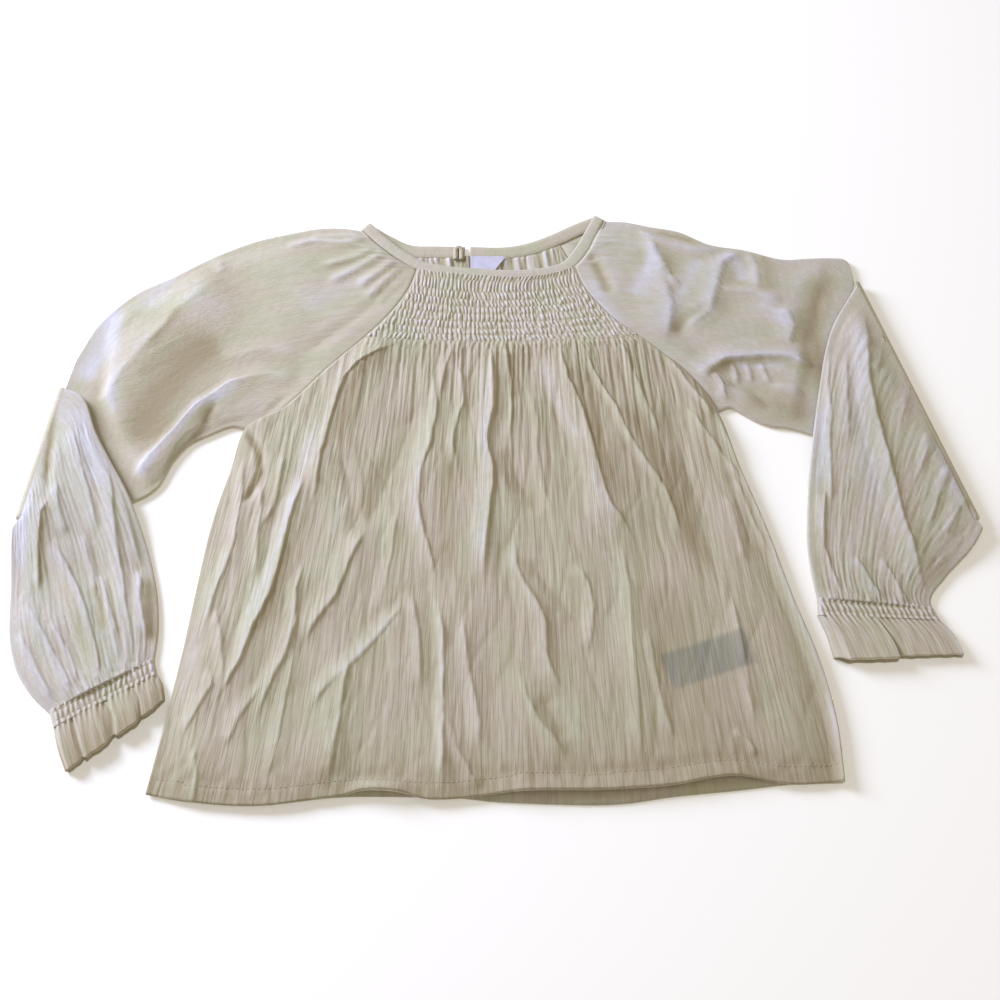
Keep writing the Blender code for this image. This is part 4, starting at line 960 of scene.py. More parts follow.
def build_back(settings, finish):
    """The back panel, flat on the surface, with crinkles, gathers below its binding, and its slit: the
    column of quads between the slit's edges is left out above the slit's foot."""
    right, left = np.linspace(0, SLIT_SHARE[0], 71), np.linspace(SLIT_SHARE[1], 1, 105)
    slit = len(right) - 1
    rows = np.append(np.linspace(0, 0.7, 60), np.linspace(0.7, 1, 60)[1:])
    u, v = np.meshgrid(np.append(right, left), rows)
    x, y = panel_plan(BACK, u, v)
    x, y = bend_to_hem(BACK, BACK_HEM, u, v, x, y)
    neck_x, neck_y = back_neck(u, "seam_x"), back_neck(u, "seam_y")
    at_neck = ramp((v - 0.86) / 0.14)
    x, y = x + at_neck * (neck_x - x), y + at_neck * (neck_y + 1.0 - y)
    middle, half = sum(SLIT_EDGES) / 2, (SLIT_EDGES[1] - SLIT_EDGES[0]) / 2
    half = half * (0.3 + 0.7 * ramp((y[:, slit : slit + 1] - SLIT_FOOT_Y) / 60))
    edges = x[:, slit : slit + 1].copy(), x[:, slit + 1 : slit + 2].copy()
    for share, side, edge in zip(SLIT_SHARE, (-1, 1), edges):
        pull = np.clip(1 - np.abs(u - share) / 0.06, 0, 1) * ((u <= SLIT_SHARE[0]) == (side < 0))
        x = x + pull * (middle + side * half - edge)
    keep = np.ones((x.shape[0] - 1, x.shape[1] - 1), bool)
    keep[y[:-1, slit] > SLIT_FOOT_Y, slit] = False
    s = grain(x, y)
    inside = ramp(from_sides(u, x) / 6)
    from_neck = np.maximum(neck_y - y, 0)
    pleats = np.abs(noise(x / 5.0 + 0.04 * y, y / 50, 61))
    gather = 3.2 * pleats * np.exp(-from_neck / 40) * ramp((y - 100) / 40) * ramp(from_neck / 3)
    height = BACK_TOP + inside * (0.35 * settings.crinkle_depth * crinkle(s, y, 8, 60, 62) + gather)
    height = np.clip(height, BACK_TOP - 0.2, BACK_TOP + 2.2)
    slit_shade = 1.6 * ramp(1 - np.abs(x - middle) / 5) * (y > SLIT_FOOT_Y)
    depth = depth_mask(height, 5, 3, 1.0) - slit_shade
    under = points_at(x, y, np.full_like(x, 0.02))
    uv = np.stack([s, y], -1)
    piece = cloth_piece("back_panel", points_at(x, y, height), under, uv, depth, 1, keep=keep)
    dress(piece, finish, "back")


# ---------------------------------------------------------------- sleeves

# A layer of a sleeve's armhole: the raglan seam, the share of the armhole that it takes up, and the binding
# beyond it, between two of the binding's sections.
Layer = namedtuple("Layer", "raglan corner band start stop")
# side is -1 or 1 in x. Two shares of painted light lighten the upper arm and the forearm as a whole, and two
# tables paint shade, and light where negative, on each of them.
Arm = namedtuple(
    "Arm",
    "name side upper fold forearm edge folds forearm_folds hollows forearm_hollows"
    " tone forearm_tone front back seed",
)
RIGHT_ARM = Arm(
    name="right",
    side=-1,
    upper=UPPER_ARM_RIGHT,
    fold=FOLD_RIGHT,
    forearm=FOREARM_RIGHT,
    edge=ARM_EDGE_RIGHT,
    folds=SLEEVE_RIGHT_FOLDS,
    forearm_folds=FOREARM_RIGHT_FOLDS,
    hollows=RIGHT_PAINTED_SHADING,
    forearm_hollows=FOREARM_RIGHT_PAINTED_SHADING,
    tone=0.0,
    forearm_tone=0.28,
    front=Layer(RAGLAN_FRONT, FRONT_CORNER_SHARE, BAND_FRONT, FRONT_CORNERS[0], 0),
    back=Layer(RAGLAN_BACK, BACK_CORNER_SHARE, BAND_BACK_RIGHT, BACK_CORNERS[0], 0),
    seed=100,
)
LEFT_ARM = Arm(
    name="left",
    side=1,
    upper=UPPER_ARM_LEFT,
    fold=FOLD_LEFT,
    forearm=FOREARM_LEFT,
    edge=ARM_EDGE_LEFT,
    folds=SLEEVE_LEFT_FOLDS,
    forearm_folds=FOREARM_LEFT_FOLDS,
    hollows=LEFT_PAINTED_SHADING,
    forearm_hollows=FOREARM_LEFT_PAINTED_SHADING,
    tone=0.22,
    forearm_tone=0.16,
    front=Layer(RAGLAN_FRONT, FRONT_CORNER_SHARE, BAND_FRONT, FRONT_CORNERS[1], len(BAND_FRONT) - 1),
    back=Layer(RAGLAN_BACK, BACK_CORNER_SHARE, BAND_BACK_LEFT, BACK_CORNERS[1], len(BAND_BACK_LEFT) - 1),
    seed=200,
)
# Stations along a sleeve, and places across each layer of it.
UPPER_STATIONS, FOLD_STATIONS, FOREARM_STATIONS, SLEEVE_ACROSS = 105, 16, 120, 121
FOLD_GAP = 0.28  # share of the gap between two sections that each side of the fold stays short of it
FOLD_END_REACH = 22  # how far past the ends of the fold line the cloth still keeps clear of it
# What is known at each station: its section's columns, the angle that the cloth has turned through about
# the fold (0 to pi), whether it is on the turn, the share of the forearm behind it, the distance travelled
# from the armhole, and how many stations away the turn is.
Stations = namedtuple("Stations", "ux uy tx ty bend turn at_fold forearm travel away")


def armhole(arm, layer, q):
    """The armhole: up the raglan seam from the underarm, then along the binding to the shoulder."""
    edge = "left" if arm.side < 0 else "right"
    raglan = np.clip(q / layer.corner, 0, 1) * (len(layer.raglan) - 1)
    share = np.clip((q - layer.corner) / (1 - layer.corner), 0, 1)
    place = layer.start + share * (layer.stop - layer.start)
    on_seam = q <= layer.corner
    x = np.where(on_seam, read(layer.raglan, edge + "_x", raglan), read(layer.band, "seam_x", place))
    y = np.where(on_seam, read(layer.raglan, edge + "_y", raglan), read(layer.band, "seam_y", place))
    first = arm.upper[0]
    blend = ramp((q - 0.97) / 0.03)
    return x + blend * (first.top_x - x), y + blend * (first.top_y - y)


def edge_distance(edge, x, y):
    """Distance from the lower edge of the upper arm, positive on the arm."""
    run, rise = edge.x1 - edge.x0, edge.y1 - edge.y0
    flip = 1 if run > 0 else -1
    return flip * (run * (y - edge.y0) - rise * (x - edge.x0)) / np.hypot(run, rise)


def spread_across(width, count, half):
    """Places from 0 to 1 across a flattened tube, close together where it rounds at its two edges."""
    close = np.array([0, 0.08, 0.3, 0.65, 1.05]) * half / width
    inner = np.linspace(0, 1, count - 2 * close.shape[-1] + 2)[1:-1]
    inner = 1.05 * half / width + inner * (1 - 2.1 * half / width)
    return np.concatenate([close + 0 * width, inner, 1 - close[..., ::-1]], -1)


def rounding(from_edge, half):
    """Share of half its thickness that a flattened tube has at a distance from its edge: a quarter circle."""
    return np.sqrt(1 - (1 - np.clip(from_edge / half, 0, 1)) ** 2)


def round_tube(front, back, closed=False):
    """A tube's grid from those of its two layers, which share their first and last columns."""
    parts = [front, back[:, -2:0:-1]] + ([back[:, :1]] if closed else [])
    return np.concatenate(parts, 1)


def sleeve_stations(arm):
    """Stations from the armhole to the fold, round it, and down to the wrist."""
    upper = np.linspace(0, len(arm.upper) - FOLD_GAP, UPPER_STATIONS)
    forearm = np.linspace(FOLD_GAP, len(arm.forearm), FOREARM_STATIONS)
    before = cut_columns([*arm.upper, arm.fold], upper)
    after = cut_columns([arm.fold, *arm.forearm], forearm)
    turning = [np.full((FOLD_STATIONS, 1), float(value)) for value in arm.fold]
    ux, uy, tx, ty, bend = (np.concatenate(parts) for parts in zip(before, turning, after))
    counts = (UPPER_STATIONS, FOLD_STATIONS, FOREARM_STATIONS)
    on_upper, on_fold, on_forearm = (np.zeros(count) for count in counts)

    def column(*parts):
        return np.concatenate(parts)[:, None]

    return Stations(
        ux,
        uy,
        tx,
        ty,
        bend,
        turn=column(on_upper, np.linspace(0, np.pi, FOLD_STATIONS), on_forearm + np.pi),
        at_fold=column(on_upper, on_fold + 1, on_forearm),
        forearm=column(on_upper, on_fold, np.linspace(0, 1, FOREARM_STATIONS)),
        travel=travelled(np.concatenate([(ux + tx) / 2, (uy + ty) / 2], 1))[:, None],
        away=column(np.arange(UPPER_STATIONS)[::-1], on_fold, np.arange(FOREARM_STATIONS)),
    )


def keep_clear_of_fold(arm, line, x, y, out, half):
    """Moves places inwards where they lie too near the fold line, so that the turn stays outside them, and
    places on the turn outwards round it. Past the ends of the line they may come nearer."""
    fold_line = np.array([arm.fold.top_x - arm.fold.under_x, arm.fold.top_y - arm.fold.under_y])
    length = np.hypot(*fold_line)
    fold_line = fold_line / length
    inwards = (arm.fold.under_x - x) * out[0] + (arm.fold.under_y - y) * out[1]
    along = (x - arm.fold.under_x) * fold_line[0] + (y - arm.fold.under_y) * fold_line[1]
    past_end = np.maximum(np.maximum(-along, along - length), 0) * ((line.turn > 3) | (arm.side > 0))
    least = SLEEVE_STACK / 2 + half + 0.12 * (line.away + 1)
    room = (least - 0.3 * past_end) * np.clip(1 - past_end / FOLD_END_REACH, 0, 1)
    pushed = np.maximum(room - inwards, 0) * (past_end < FOLD_END_REACH)
    on_turn = SLEEVE_STACK / 2 * (np.sin(line.turn) - 1) - half
    moved = np.where(line.at_fold > 0, on_turn, -pushed)
    return x + out[0] * moved, y + out[1] * moved


def upper_arm_relief(arm, settings, line, x, y, q, fine, rise, plain):
    """(lift, lean) of the upper arm's upper layer: its folds, and gathers drawn in at the neck. It stays flat
    where the forearm lies on it."""
    forearm_x = np.interp(-y, [-cut.top_y for cut in arm.forearm], [cut.top_x for cut in arm.forearm])
    covered = ramp(1.6 - (forearm_x - x) * arm.side / 12) * (x * arm.side > 150)
    clear = (1 - covered) * rise
    folds, lean = fold_field(arm.folds, x, y)
    seam = ramp(line.travel / 9)
    loft, waves = plain
    near_neck = ramp((q - arm.front.corner) / 0.05)
    gather = 2.2 * np.abs(noise(q * 34, (line.travel + 0 * q) / 40, arm.seed + 3)) * np.exp(-line.travel / 18)
    gather = gather * near_neck * ramp(line.travel / 1.5)
    shown = np.maximum(seam, near_neck * ramp(line.travel / 3))
    lift = loft + seam * (waves + 0.22 * settings.crinkle_depth * fine) + gather
    lift = clear * (lift + settings.fold_height * folds * shown)
    return lift + NECK_LIFT * ramp((y - 60) / 90) * line.bend, lean


def forearm_relief(arm, settings, line, x, y, q, s, fine, rise, plain):
    """(lift, lean) of the forearm's upper layer: its folds, and gathers that fade in towards the wrist."""
    folds, lean = fold_field(arm.forearm_folds, x, y)
    width = np.hypot(line.tx - line.ux, line.ty - line.uy)
    t = line.travel + 0 * q
    to_wrist = (1 - line.forearm) * 230
    loft, waves = plain
    wander = 0.6 * noise(q * 14, t / 20, arm.seed + 4)
    rib = np.abs(np.sin(np.pi * (q * width / 4.4 + wander))) ** 0.7
    creased = np.abs(noise(s / 9, t / 60, arm.seed + 6))
    gather = 1.1 * rib * np.exp(-to_wrist / 9) + 1.5 * creased * np.exp(-to_wrist / 34)
    lift = settings.fold_height * folds + loft + waves + gather + settings.crinkle_depth * fine
    return rise * ramp(line.forearm * 7) * lift, lean


def build_sleeve(arm, settings, finish):
    """A sleeve as a flattened tube. Stations run from the armhole, round the elbow fold and down to the
    wrist. Round the fold the cloth turns over through half a turn about the fold line. A place on a station
    lies between its underarm edge and its top edge, half the tube's thickness above or below its middle."""
    line = sleeve_stations(arm)
    half, first, turn = SLEEVE_HALF, arm.upper[0], line.turn
    width = np.hypot(line.tx - line.ux, line.ty - line.uy)
    out = np.array([arm.fold.top_y - arm.fold.under_y, arm.fold.under_x - arm.fold.top_x], float)
    out = out / np.hypot(*out) * np.sign(out[0] * arm.side)
    wall = min(CLOTH, 0.8 * half)
    q = spread_across(width, SLEEVE_ACROSS, half)
    from_edge = np.minimum(q, 1 - q) * width
    round_off = rounding(from_edge, half)
    rise = ramp((from_edge - 0.5) / 9)
    inset = (0.5 - q) * 2 * wall / width
    tops, unders, uvs, depths, lifts = [], [], [], [], []
    for layer, sign in ((arm.front, 1), (arm.back, -1)):
        x, y = line.ux + (line.tx - line.ux) * q, line.uy + (line.ty - line.uy) * q
        seam_x, seam_y = armhole(arm, layer, q)
        seam_x = seam_x - arm.side * 0.8 * ramp(1 - line.travel / 2)
        x = x + line.bend * (seam_x - first.under_x - (first.top_x - first.under_x) * q)
        y = y + line.bend * (seam_y - first.under_y - (first.top_y - first.under_y) * q)
        resting = ramp((edge_distance(arm.edge, x, y) + 52) / 60)
        level = half + np.where(turn > 3, SLEEVE_STACK * resting, 0.0)
        level = np.where(line.at_fold > 0, half + SLEEVE_STACK / 2 * (1 - np.cos(turn)), level)
        x, y = keep_clear_of_fold(arm, line, x, y, out, half)
        s = q * SLEEVE_GIRTH / 2 if sign > 0 else SLEEVE_GIRTH - q * SLEEVE_GIRTH / 2
        t = line.travel + 0 * q
        fine = crinkle(s, t, 8.0, 80, arm.seed + (0 if sign > 0 else 5))
        plain = 1.8 * ramp(from_edge / 24), 1.1 * noise(x / 40, y / 40, arm.seed + 2)
        if sign > 0:
            lift, lean = upper_arm_relief(arm, settings, line, x, y, q, fine, rise, plain)
            facing_up = (turn < 1) & (line.at_fold < 1)
            # Painted shade and light from the upper arm's table, less its painted light as a whole.
            shade = fold_field(arm.hollows, x, y)[0] - arm.tone
        else:
            lift, lean = forearm_relief(arm, settings, line, x, y, q, s, fine, rise, plain)
            facing_up = (turn > 3) & (line.at_fold < 1)
            # Painted shade and light from the forearm's table, less its painted light as a whole.
            shade = fold_field(arm.forearm_hollows, x, y)[0] - arm.forearm_tone
        lift = np.where(facing_up, np.maximum(lift, -0.8), 0.0) * np.clip(from_edge / half, 0, 1)
        inner_x, inner_y = x + inset * (line.tx - line.ux), y + inset * (line.ty - line.uy)
        outer, inner = half * round_off * sign, (half - wall) * round_off * sign
        leaned = x + np.where(facing_up, lean, 0) * rise
        top = turned_about(leaned, y, level, outer, turn, out)
        top[..., 2] += lift
        tops.append(top)
        unders.append(turned_about(inner_x, inner_y, level, inner, turn, out))
        lifts.append(lift)
        uvs.append(np.stack([s, t], -1))
        # Relief as painted shade and highlight, less the painted shade and light above, on the outer face
        # only.
        depths.append((depth_mask(top[..., 2], 6, 5, 3.2) - shade) * facing_up)
    under = round_tube(*unders)[::COARSE, ::COARSE]
    under[..., 2] += lowest(round_tube(*lifts), COARSE, True)
    name, depth = "sleeve_shell_" + arm.name, round_tube(*depths)
    piece = cloth_piece(name, round_tube(*tops), under, round_tube(*uvs, True), depth, COARSE, wraps=True)
    dress(piece, finish, "sleeve_" + arm.name)


def turned_about(x, y, level, offset, turn, out):
    """Points that stand off a level by an offset, turned about the fold line towards the inside of it."""
    aside = np.sin(turn) * offset
    return np.stack([x - out[0] * aside, y - out[1] * aside, level + np.cos(turn) * offset], -1)


# ---------------------------------------------------------------- wrists

# A flat tube at the wrist: half its thickness, its stations, its places across each layer, and how far it
# reaches past its own sections at both ends.
Tube = namedtuple("Tube", "half stations across overlap")
ELASTIC_TUBE = Tube(2.4, 25, 131, 0.9)
RUFFLE_TUBE = Tube(2.0, 45, 171, 0.5)
# shade darkens the ruffle towards its free edge.
Wrist = namedtuple("Wrist", "name band frill seed shade panels")
WRISTS = [
    Wrist("right", CUFF_RIGHT, FRILL_RIGHT, 300, 0.9, RIGHT_PANELS),
    Wrist("left", CUFF_LEFT, FRILL_LEFT, 400, 0.1, LEFT_PANELS),
]
WRIST_WALL = 0.7


def wrist_tube(name, cuts, tube, shape, shade):
    """A flat tube at the wrist. shape(share, q, width) gives the lift of its upper layer, the lift of its
    lower layer and how far a place moves outwards along the sleeve. shade darkens it towards its far
    end."""
    half = tube.half
    share = np.linspace(0, 1, tube.stations)[:, None]
    ux, uy, tx, ty, _ = cut_columns(cuts, share[:, 0] * (len(cuts) - 1))
    width = np.hypot(tx - ux, ty - uy)
    out = np.array([cuts[-1].under_x - cuts[0].under_x, cuts[-1].under_y - cuts[0].under_y])
    length = np.hypot(*out)
    out = out / length
    q = spread_across(width, tube.across, half)
    from_edge = np.minimum(q, 1 - q) * width
    round_off = rounding(from_edge, half)
    upper, lower, outward = shape(share, q, width)
    outward = outward + tube.overlap * (2 * share - 1)
    x, y = ux + (tx - ux) * q + out[0] * outward, uy + (ty - uy) * q + out[1] * outward
    inset = (0.5 - q) * 2 * WRIST_WALL / width
    inner_x, inner_y = x + inset * (tx - ux), y + inset * (ty - uy)
    tops, unders = [], []
    for sign, relief in ((1, upper), (-1, lower)):
        lift = relief * np.clip(from_edge / half, 0, 1)
        tops.append(points_at(x, y, half + sign * half * round_off + lift))
        inner_z = half + sign * (half - WRIST_WALL) * round_off + lift * 0.6
        unders.append(points_at(inner_x, inner_y, inner_z))
    under = round_tube(*unders)[::COARSE, ::COARSE]
    along = share * length + 0 * q
    uv = round_tube(np.stack([q * 80, along], -1), np.stack([160 - q * 80, along], -1), True)
    depth = depth_mask(tops[0][..., 2], 5, 3, 1.4) - shade * share
    return cloth_piece(name, round_tube(*tops), under, uv, round_tube(depth, 0 * depth), COARSE, wraps=True)


def cuff_shape(seed):
    """Two rows of elastic: ribs drawn in at the rows and swollen above, between and below them."""

    def shape(share, q, width):
        place = q * width
        swell = np.abs(np.cos(np.pi * share * 2)) ** 0.6
        wander = 0.3 * noise(place / 7, share * 2, seed)
        rib = np.cos(2 * np.pi * (place / CUFF_RIB_PITCH + wander))
        upper = (0.35 + 0.65 * swell) * (0.65 * rib + 0.5)
        return upper, 0 * q, 0.35 * rib * swell * (share > 0.5)

    return shape


def frill_shape(seed, panels):
    """A gathered frill: panels that stand over each other, each with a crisp start and a soft end across the
    frill, and that grow towards its free edge, in height and along the sleeve."""

    def shape(share, q, width):
        place = q + 0.02 * noise(q * 6, share * 1.5, seed)
        wave = 0 * place
        for begin, end, height in panels:
            wave = np.maximum(wave, height * ramp((place - begin) / 0.025) * ramp((end - place) / 0.1))
        fine = noise(q * 17, share * 1.2, seed + 1)
        rib = np.cos(2 * np.pi * q * width / CUFF_RIB_PITCH) * np.exp(-share * 6)
        upper = (0.25 + 0.75 * share) * wave + 0.5 * fine + 0.7 * rib + 0.4
        lower = np.maximum(0.2 * share * wave, 0)
        return upper, lower, share * (0.9 * wave - 1.5 + 0.7 * fine)

    return shape


# ---------------------------------------------------------------- neck and labels


def binding_run(rows, count, height, turn):
    """Stations along a run of the binding: its seam edge, its free edge, its height, the angle that it has
    turned over through, and the direction outwards, which matters only where it turns."""
    place = np.linspace(0, len(rows) - 1, count)
    fields = [read(rows, field, place) for field in Band._fields]
    return np.stack([*fields, np.full(count, height), np.full(count, turn), 0 * place, 0 * place], -1)


def binding_turn(low, high, out_x, out_y):
    """Stations where the binding turns over on a shoulder, from the back's section to the front's."""
    turn = np.linspace(0, np.pi, 16)[1:-1]
    share = (turn / np.pi)[:, None]
    radius = (BAND_FRONT_MIDDLE - BAND_BACK_MIDDLE) / 2
    out = np.array([out_x, out_y]) / np.hypot(out_x, out_y)
    flat = (1 - share) * np.array(low) + share * np.array(high)
    bulge = np.sin(turn)[:, None] * radius * np.tile(out, 2)
    height = BAND_BACK_MIDDLE + radius * (1 - np.cos(turn))
    return np.column_stack([flat + bulge, height, turn, np.tile(out, (len(turn), 1))])


def build_binding(finish):
    """The bias binding: a flat bar from one edge of the slit, round the back, over each shoulder, where it
    turns over on itself, and along the front. Its section has a stitched groove near the seam."""
    back_right = binding_run(BAND_BACK_RIGHT, 70, BAND_BACK_MIDDLE, 0.0)[::-1]
    right = binding_turn(BAND_BACK_RIGHT[0], BAND_FRONT[0], -12, 12)
    front = binding_run(BAND_FRONT, 220, BAND_FRONT_MIDDLE, np.pi)
    left = binding_turn(BAND_BACK_LEFT[-1], BAND_FRONT[-1], 7, 14)[::-1]
    back_left = binding_run(BAND_BACK_LEFT, 84, BAND_BACK_MIDDLE, 0.0)[::-1]
    line = np.concatenate([back_right, right, front, left, back_left])
    seam, free, height, turn, out = line[:, :2], line[:, 2:4], line[:, 4], line[:, 5], line[:, 6:]
    travel = travelled(free)
    normal = np.column_stack([-np.sin(turn)[:, None] * out, np.cos(turn)])
    side = np.column_stack([free - seam, 0 * height])
    width = np.linalg.norm(side, axis=1)[:, None]
    side = side / width
    base = np.column_stack([seam, height]) - side * BAND_LAP
    cross, thick = np.array(BAND_SECTION).T
    pucker = 0.1 * noise(travel / 2.2, travel * 0, 71) + 0.25 * noise(travel / 18, travel * 0, 72)
    level = -BAND_THICK / 2 * thick - np.clip(thick, 0, 1) * pucker[:, None]
    reach = cross * (width + 1.7 * BAND_LAP)
    rings = base[:, None] + side[:, None] * reach[..., None] + normal[:, None] * level[..., None]
    # Painted shade in the stitched groove, and a slight painted highlight on the rest of the upper face.
    groove_shade_and_face_light = np.where((cross > 0.1) & (cross < 0.2), -1.0, 0.15) * (thick > 0)
    piece = bar_piece("binding_strip", rings, travel, groove_shade_and_face_light + 0 * level)
    return dress(piece, finish, "neck_binding")


def build_loop(finish):
    """The button loop: a round cord bent into an arch that stands on the binding."""
    low = BAND_BACK_MIDDLE + BAND_THICK / 2 + LOOP_CORD / 2 + 0.1
    arch = np.linspace(0, np.pi, 25)
    radius = (LOOP_WIDTH - LOOP_CORD) / 2
    straight = LOOP_DEPTH - LOOP_WIDTH / 2 - LOOP_CORD / 2
    leg = np.linspace(0, straight, 9)[:-1]
    x = np.concatenate([radius + 0 * leg, radius * np.cos(arch), -radius + 0 * leg])
    y = np.concatenate([leg, straight + radius * np.sin(arch), leg[::-1]])
    path = np.stack([LOOP_X + x, LOOP_Y - LOOP_DEPTH / 2 + y], -1)
    ahead = np.gradient(path, axis=0)
    ahead = ahead / np.hypot(ahead[:, 0], ahead[:, 1])[:, None]
    side = np.stack([-ahead[:, 1], ahead[:, 0], 0 * x], -1)
    angle = np.linspace(0, 2 * np.pi, 16, endpoint=False)[:, None]
    centre = np.column_stack([path, low + 0.8 * ramp((y - straight) / 4)])
    across, up = LOOP_CORD / 2 * 1.3 * np.cos(angle), LOOP_CORD / 2 * np.sin(angle)
    rings = centre[:, None] + side[:, None] * across + UPWARDS * up
    piece = bar_piece("loop_of_cloth", rings, travelled(path), 0 * rings[..., 0])
    return dress(piece, finish, "button_loop")


def build_label(name, node, label, level, thick, curl, finish):
    """A blank woven label: a thin wall with a slight wave and a folded edge."""
    step = 2
    u, v = np.meshgrid(np.linspace(-0.5, 0.5, 61), np.linspace(-0.5, 0.5, 41))
    turn = np.radians(label.turn)
    a, b = u * label.width - (u + 0.5) * (0.5 - v) * label.slant, v * label.depth
    x = label.x + a * np.cos(turn) - b * np.sin(turn)
    y = label.y + a * np.sin(turn) + b * np.cos(turn)
    strip = bump_at((u + 0.5) * label.width, 1.6) + bump_at((0.5 - v) * label.depth, 1.2)
    height = level + thick + curl * noise(a / 14, b / 12, 81) + 0.25 * strip
    under = points_at(x, y, height[::step, ::step] - thick, step)
    piece = cloth_piece(name, points_at(x, y, height), under, np.stack([a, b], -1), 0 * u, step)
    dress(piece, finish, node)


# ---------------------------------------------------------------- stitches


def stitch_line(name, path, length, gap, thread, finish):
    """A run of stitches on a path of points: each is a bar of six sides and four rings, thick in the middle,
    whose ends dip into the cloth. All stitches are one mesh."""
    travel = travelled(path)
    count = int(travel[-1] / (length + gap))
    start = np.arange(count) * (length + gap) + gap / 2
    place = start[:, None] + np.array([0.0, 0.25, 0.75, 1.0]) * length
    centre = np.stack([np.interp(place, travel, path[:, k]) for k in range(3)], -1)
    centre[..., 2] += np.array([-0.7, 0.35, 0.35, -0.7]) * thread
    ahead = centre[:, -1] - centre[:, 0]
    side = np.stack([-ahead[:, 1], ahead[:, 0], 0 * ahead[:, 0]], -1)
    side = side / np.linalg.norm(side, axis=1)[:, None]
    angle = np.linspace(0, 2 * np.pi, 6, endpoint=False)
    size = thread / 2 * np.array([[0.5], [1.0], [1.0], [0.5]])
    across, up = size * np.cos(angle), size * np.sin(angle)
    rings = centre[:, :, None] + side[:, None, None] * across[..., None] + UPWARDS * up[..., None]
    points = rings.reshape(-1, 3) * MM
    base = grid_of_numbers((4, 6))
    sides = grid_quads(np.concatenate([base, base[:, :1]], 1))
    caps = np.array([[0, 5, 4, 3], [0, 3, 2, 1], [18, 19, 20, 21], [18, 21, 22, 23]])
    faces = (np.concatenate([sides, caps]) + np.arange(count)[:, None, None] * base.size).reshape(-1, 4)
    corner = np.arange(len(points))
    piece = put_mesh(name, points, corner, np.zeros((len(points), 2)), faces, np.zeros((0, 3), int), {})
    dress(piece, finish, None)


# ---------------------------------------------------------------- materials

# A kind of gauze: how deep its fine crinkles are, how far apart and how long, all in metres.
Weave = namedtuple("Weave", "depth pitch length")
GAUZES = {
    "Gauze": Weave(0.00014, 0.0026, 0.05),
    "Gauze smooth": Weave(0.00008, 0.0018, 0.006),
    "Gauze pressed": Weave(0.00002, 0.0018, 0.0018),
}


def opaque(colour, share=1.0):
    """A colour with its fourth channel, darkened to a share."""
    return tuple(share * value for value in colour) + (1.0,)


def set_inputs(tree, node, inputs):
    """Fills a node's inputs, by name or number: a socket is linked, and a value is set."""
    for key, value in inputs.items():
        if isinstance(value, bpy.types.NodeSocket):
            tree.links.new(value, node.inputs[key])
        else:
            node.inputs[key].default_value = value


def add_node(tree, kind, inputs, **settings):
    """A new shader node with its settings and inputs."""
    node = tree.nodes.new("ShaderNode" + kind)
    for name, value in settings.items():
        setattr(node, name, value)
    set_inputs(tree, node, inputs)
    return node


def maths(tree, operation, *values):
    """Output of a Math node on sockets or numbers."""
    return add_node(tree, "Math", dict(enumerate(values)), operation=operation).outputs[0]


def mixed(tree, factor, first, second):
    """Output of a colour mix of sockets or colours."""
    return add_node(tree, "Mix", {0: factor, 6: first, 7: second}, data_type="RGBA").outputs[2]


def remapped(tree, value, low, high, to_low=0.0, to_high=1.0):
    """Output of a clamped Map Range node."""
    return add_node(tree, "MapRange", {0: value, 1: low, 2: high, 3: to_low, 4: to_high}).outputs[0]


def bumped(tree, height, strength, distance, **inputs):
    """Normal of a Bump node."""
    inputs.update(Strength=strength, Distance=distance, Height=height)
    return add_node(tree, "Bump", inputs).outputs[0]


def noise_texture(tree, place, **inputs):
    """Grey of a Noise texture."""
    return add_node(tree, "TexNoise", {"Vector": place, **inputs}).outputs["Fac"]


def gauze_group():
    """Node group: open gauze. Threads cross as the larger of two sine waves along the cloth's own
    coordinates. Fine crinkles are flat (1) between creases (0) along the lines where stretched noise is 0.5.
    Patch is wide stretched noise, for cloth that is unevenly dyed."""
    tree = bpy.data.node_groups.new("Gauze surface", "ShaderNodeTree")
    for name, value in (("Thread pitch", 0.0006), ("Crinkle pitch", 0.0018), ("Crinkle length", 0.03)):
        socket = tree.interface.new_socket(name=name, in_out="INPUT", socket_type="NodeSocketFloat")
        socket.default_value = value
    for name in ("Weave", "Crinkle", "Slub", "Patch"):
        tree.interface.new_socket(name=name, in_out="OUTPUT", socket_type="NodeSocketFloat")
    given = tree.nodes.new("NodeGroupInput").outputs
    uv = add_node(tree, "UVMap", {}, uv_map="cloth").outputs[0]
    split = add_node(tree, "SeparateXYZ", {0: uv}).outputs
    waves = []
    for axis in (0, 1):
        turns = maths(tree, "DIVIDE", split[axis], given["Thread pitch"])
        waves.append(maths(tree, "SINE", maths(tree, "MULTIPLY", turns, 2 * np.pi)))
    across = maths(tree, "DIVIDE", split[0], given["Crinkle pitch"])
    along = maths(tree, "DIVIDE", split[1], given["Crinkle length"])
    stretched = add_node(tree, "CombineXYZ", {0: across, 1: along}).outputs[0]
    ripple = noise_texture(tree, stretched, Scale=1.0, Detail=1.5, Roughness=0.5)
    off = maths(tree, "ABSOLUTE", maths(tree, "SUBTRACT", ripple, 0.5))
    wide = add_node(tree, "Mapping", {"Vector": uv, "Scale": (34.0, 15.0, 1.0)}).outputs[0]
    results = {
        "Weave": maths(tree, "MAXIMUM", *waves),
        "Crinkle": maths(tree, "MINIMUM", maths(tree, "MULTIPLY", off, 9.0), 1.0),
        "Slub": noise_texture(tree, uv, Scale=170.0, Detail=4.0),
        "Patch": noise_texture(tree, wide, Scale=1.0, Detail=3.0),
    }
    set_inputs(tree, tree.nodes.new("NodeGroupOutput"), results)
    return tree


def new_finish(name, shader_inputs):
    """A new material, its node tree and its shader, with the shader's fixed inputs set."""
    finish = bpy.data.materials.new(name)
    finish.use_nodes = True
    tree = finish.node_tree
    shader = tree.nodes["Principled BSDF"]
    set_inputs(tree, shader, shader_inputs)
    return finish, tree, shader


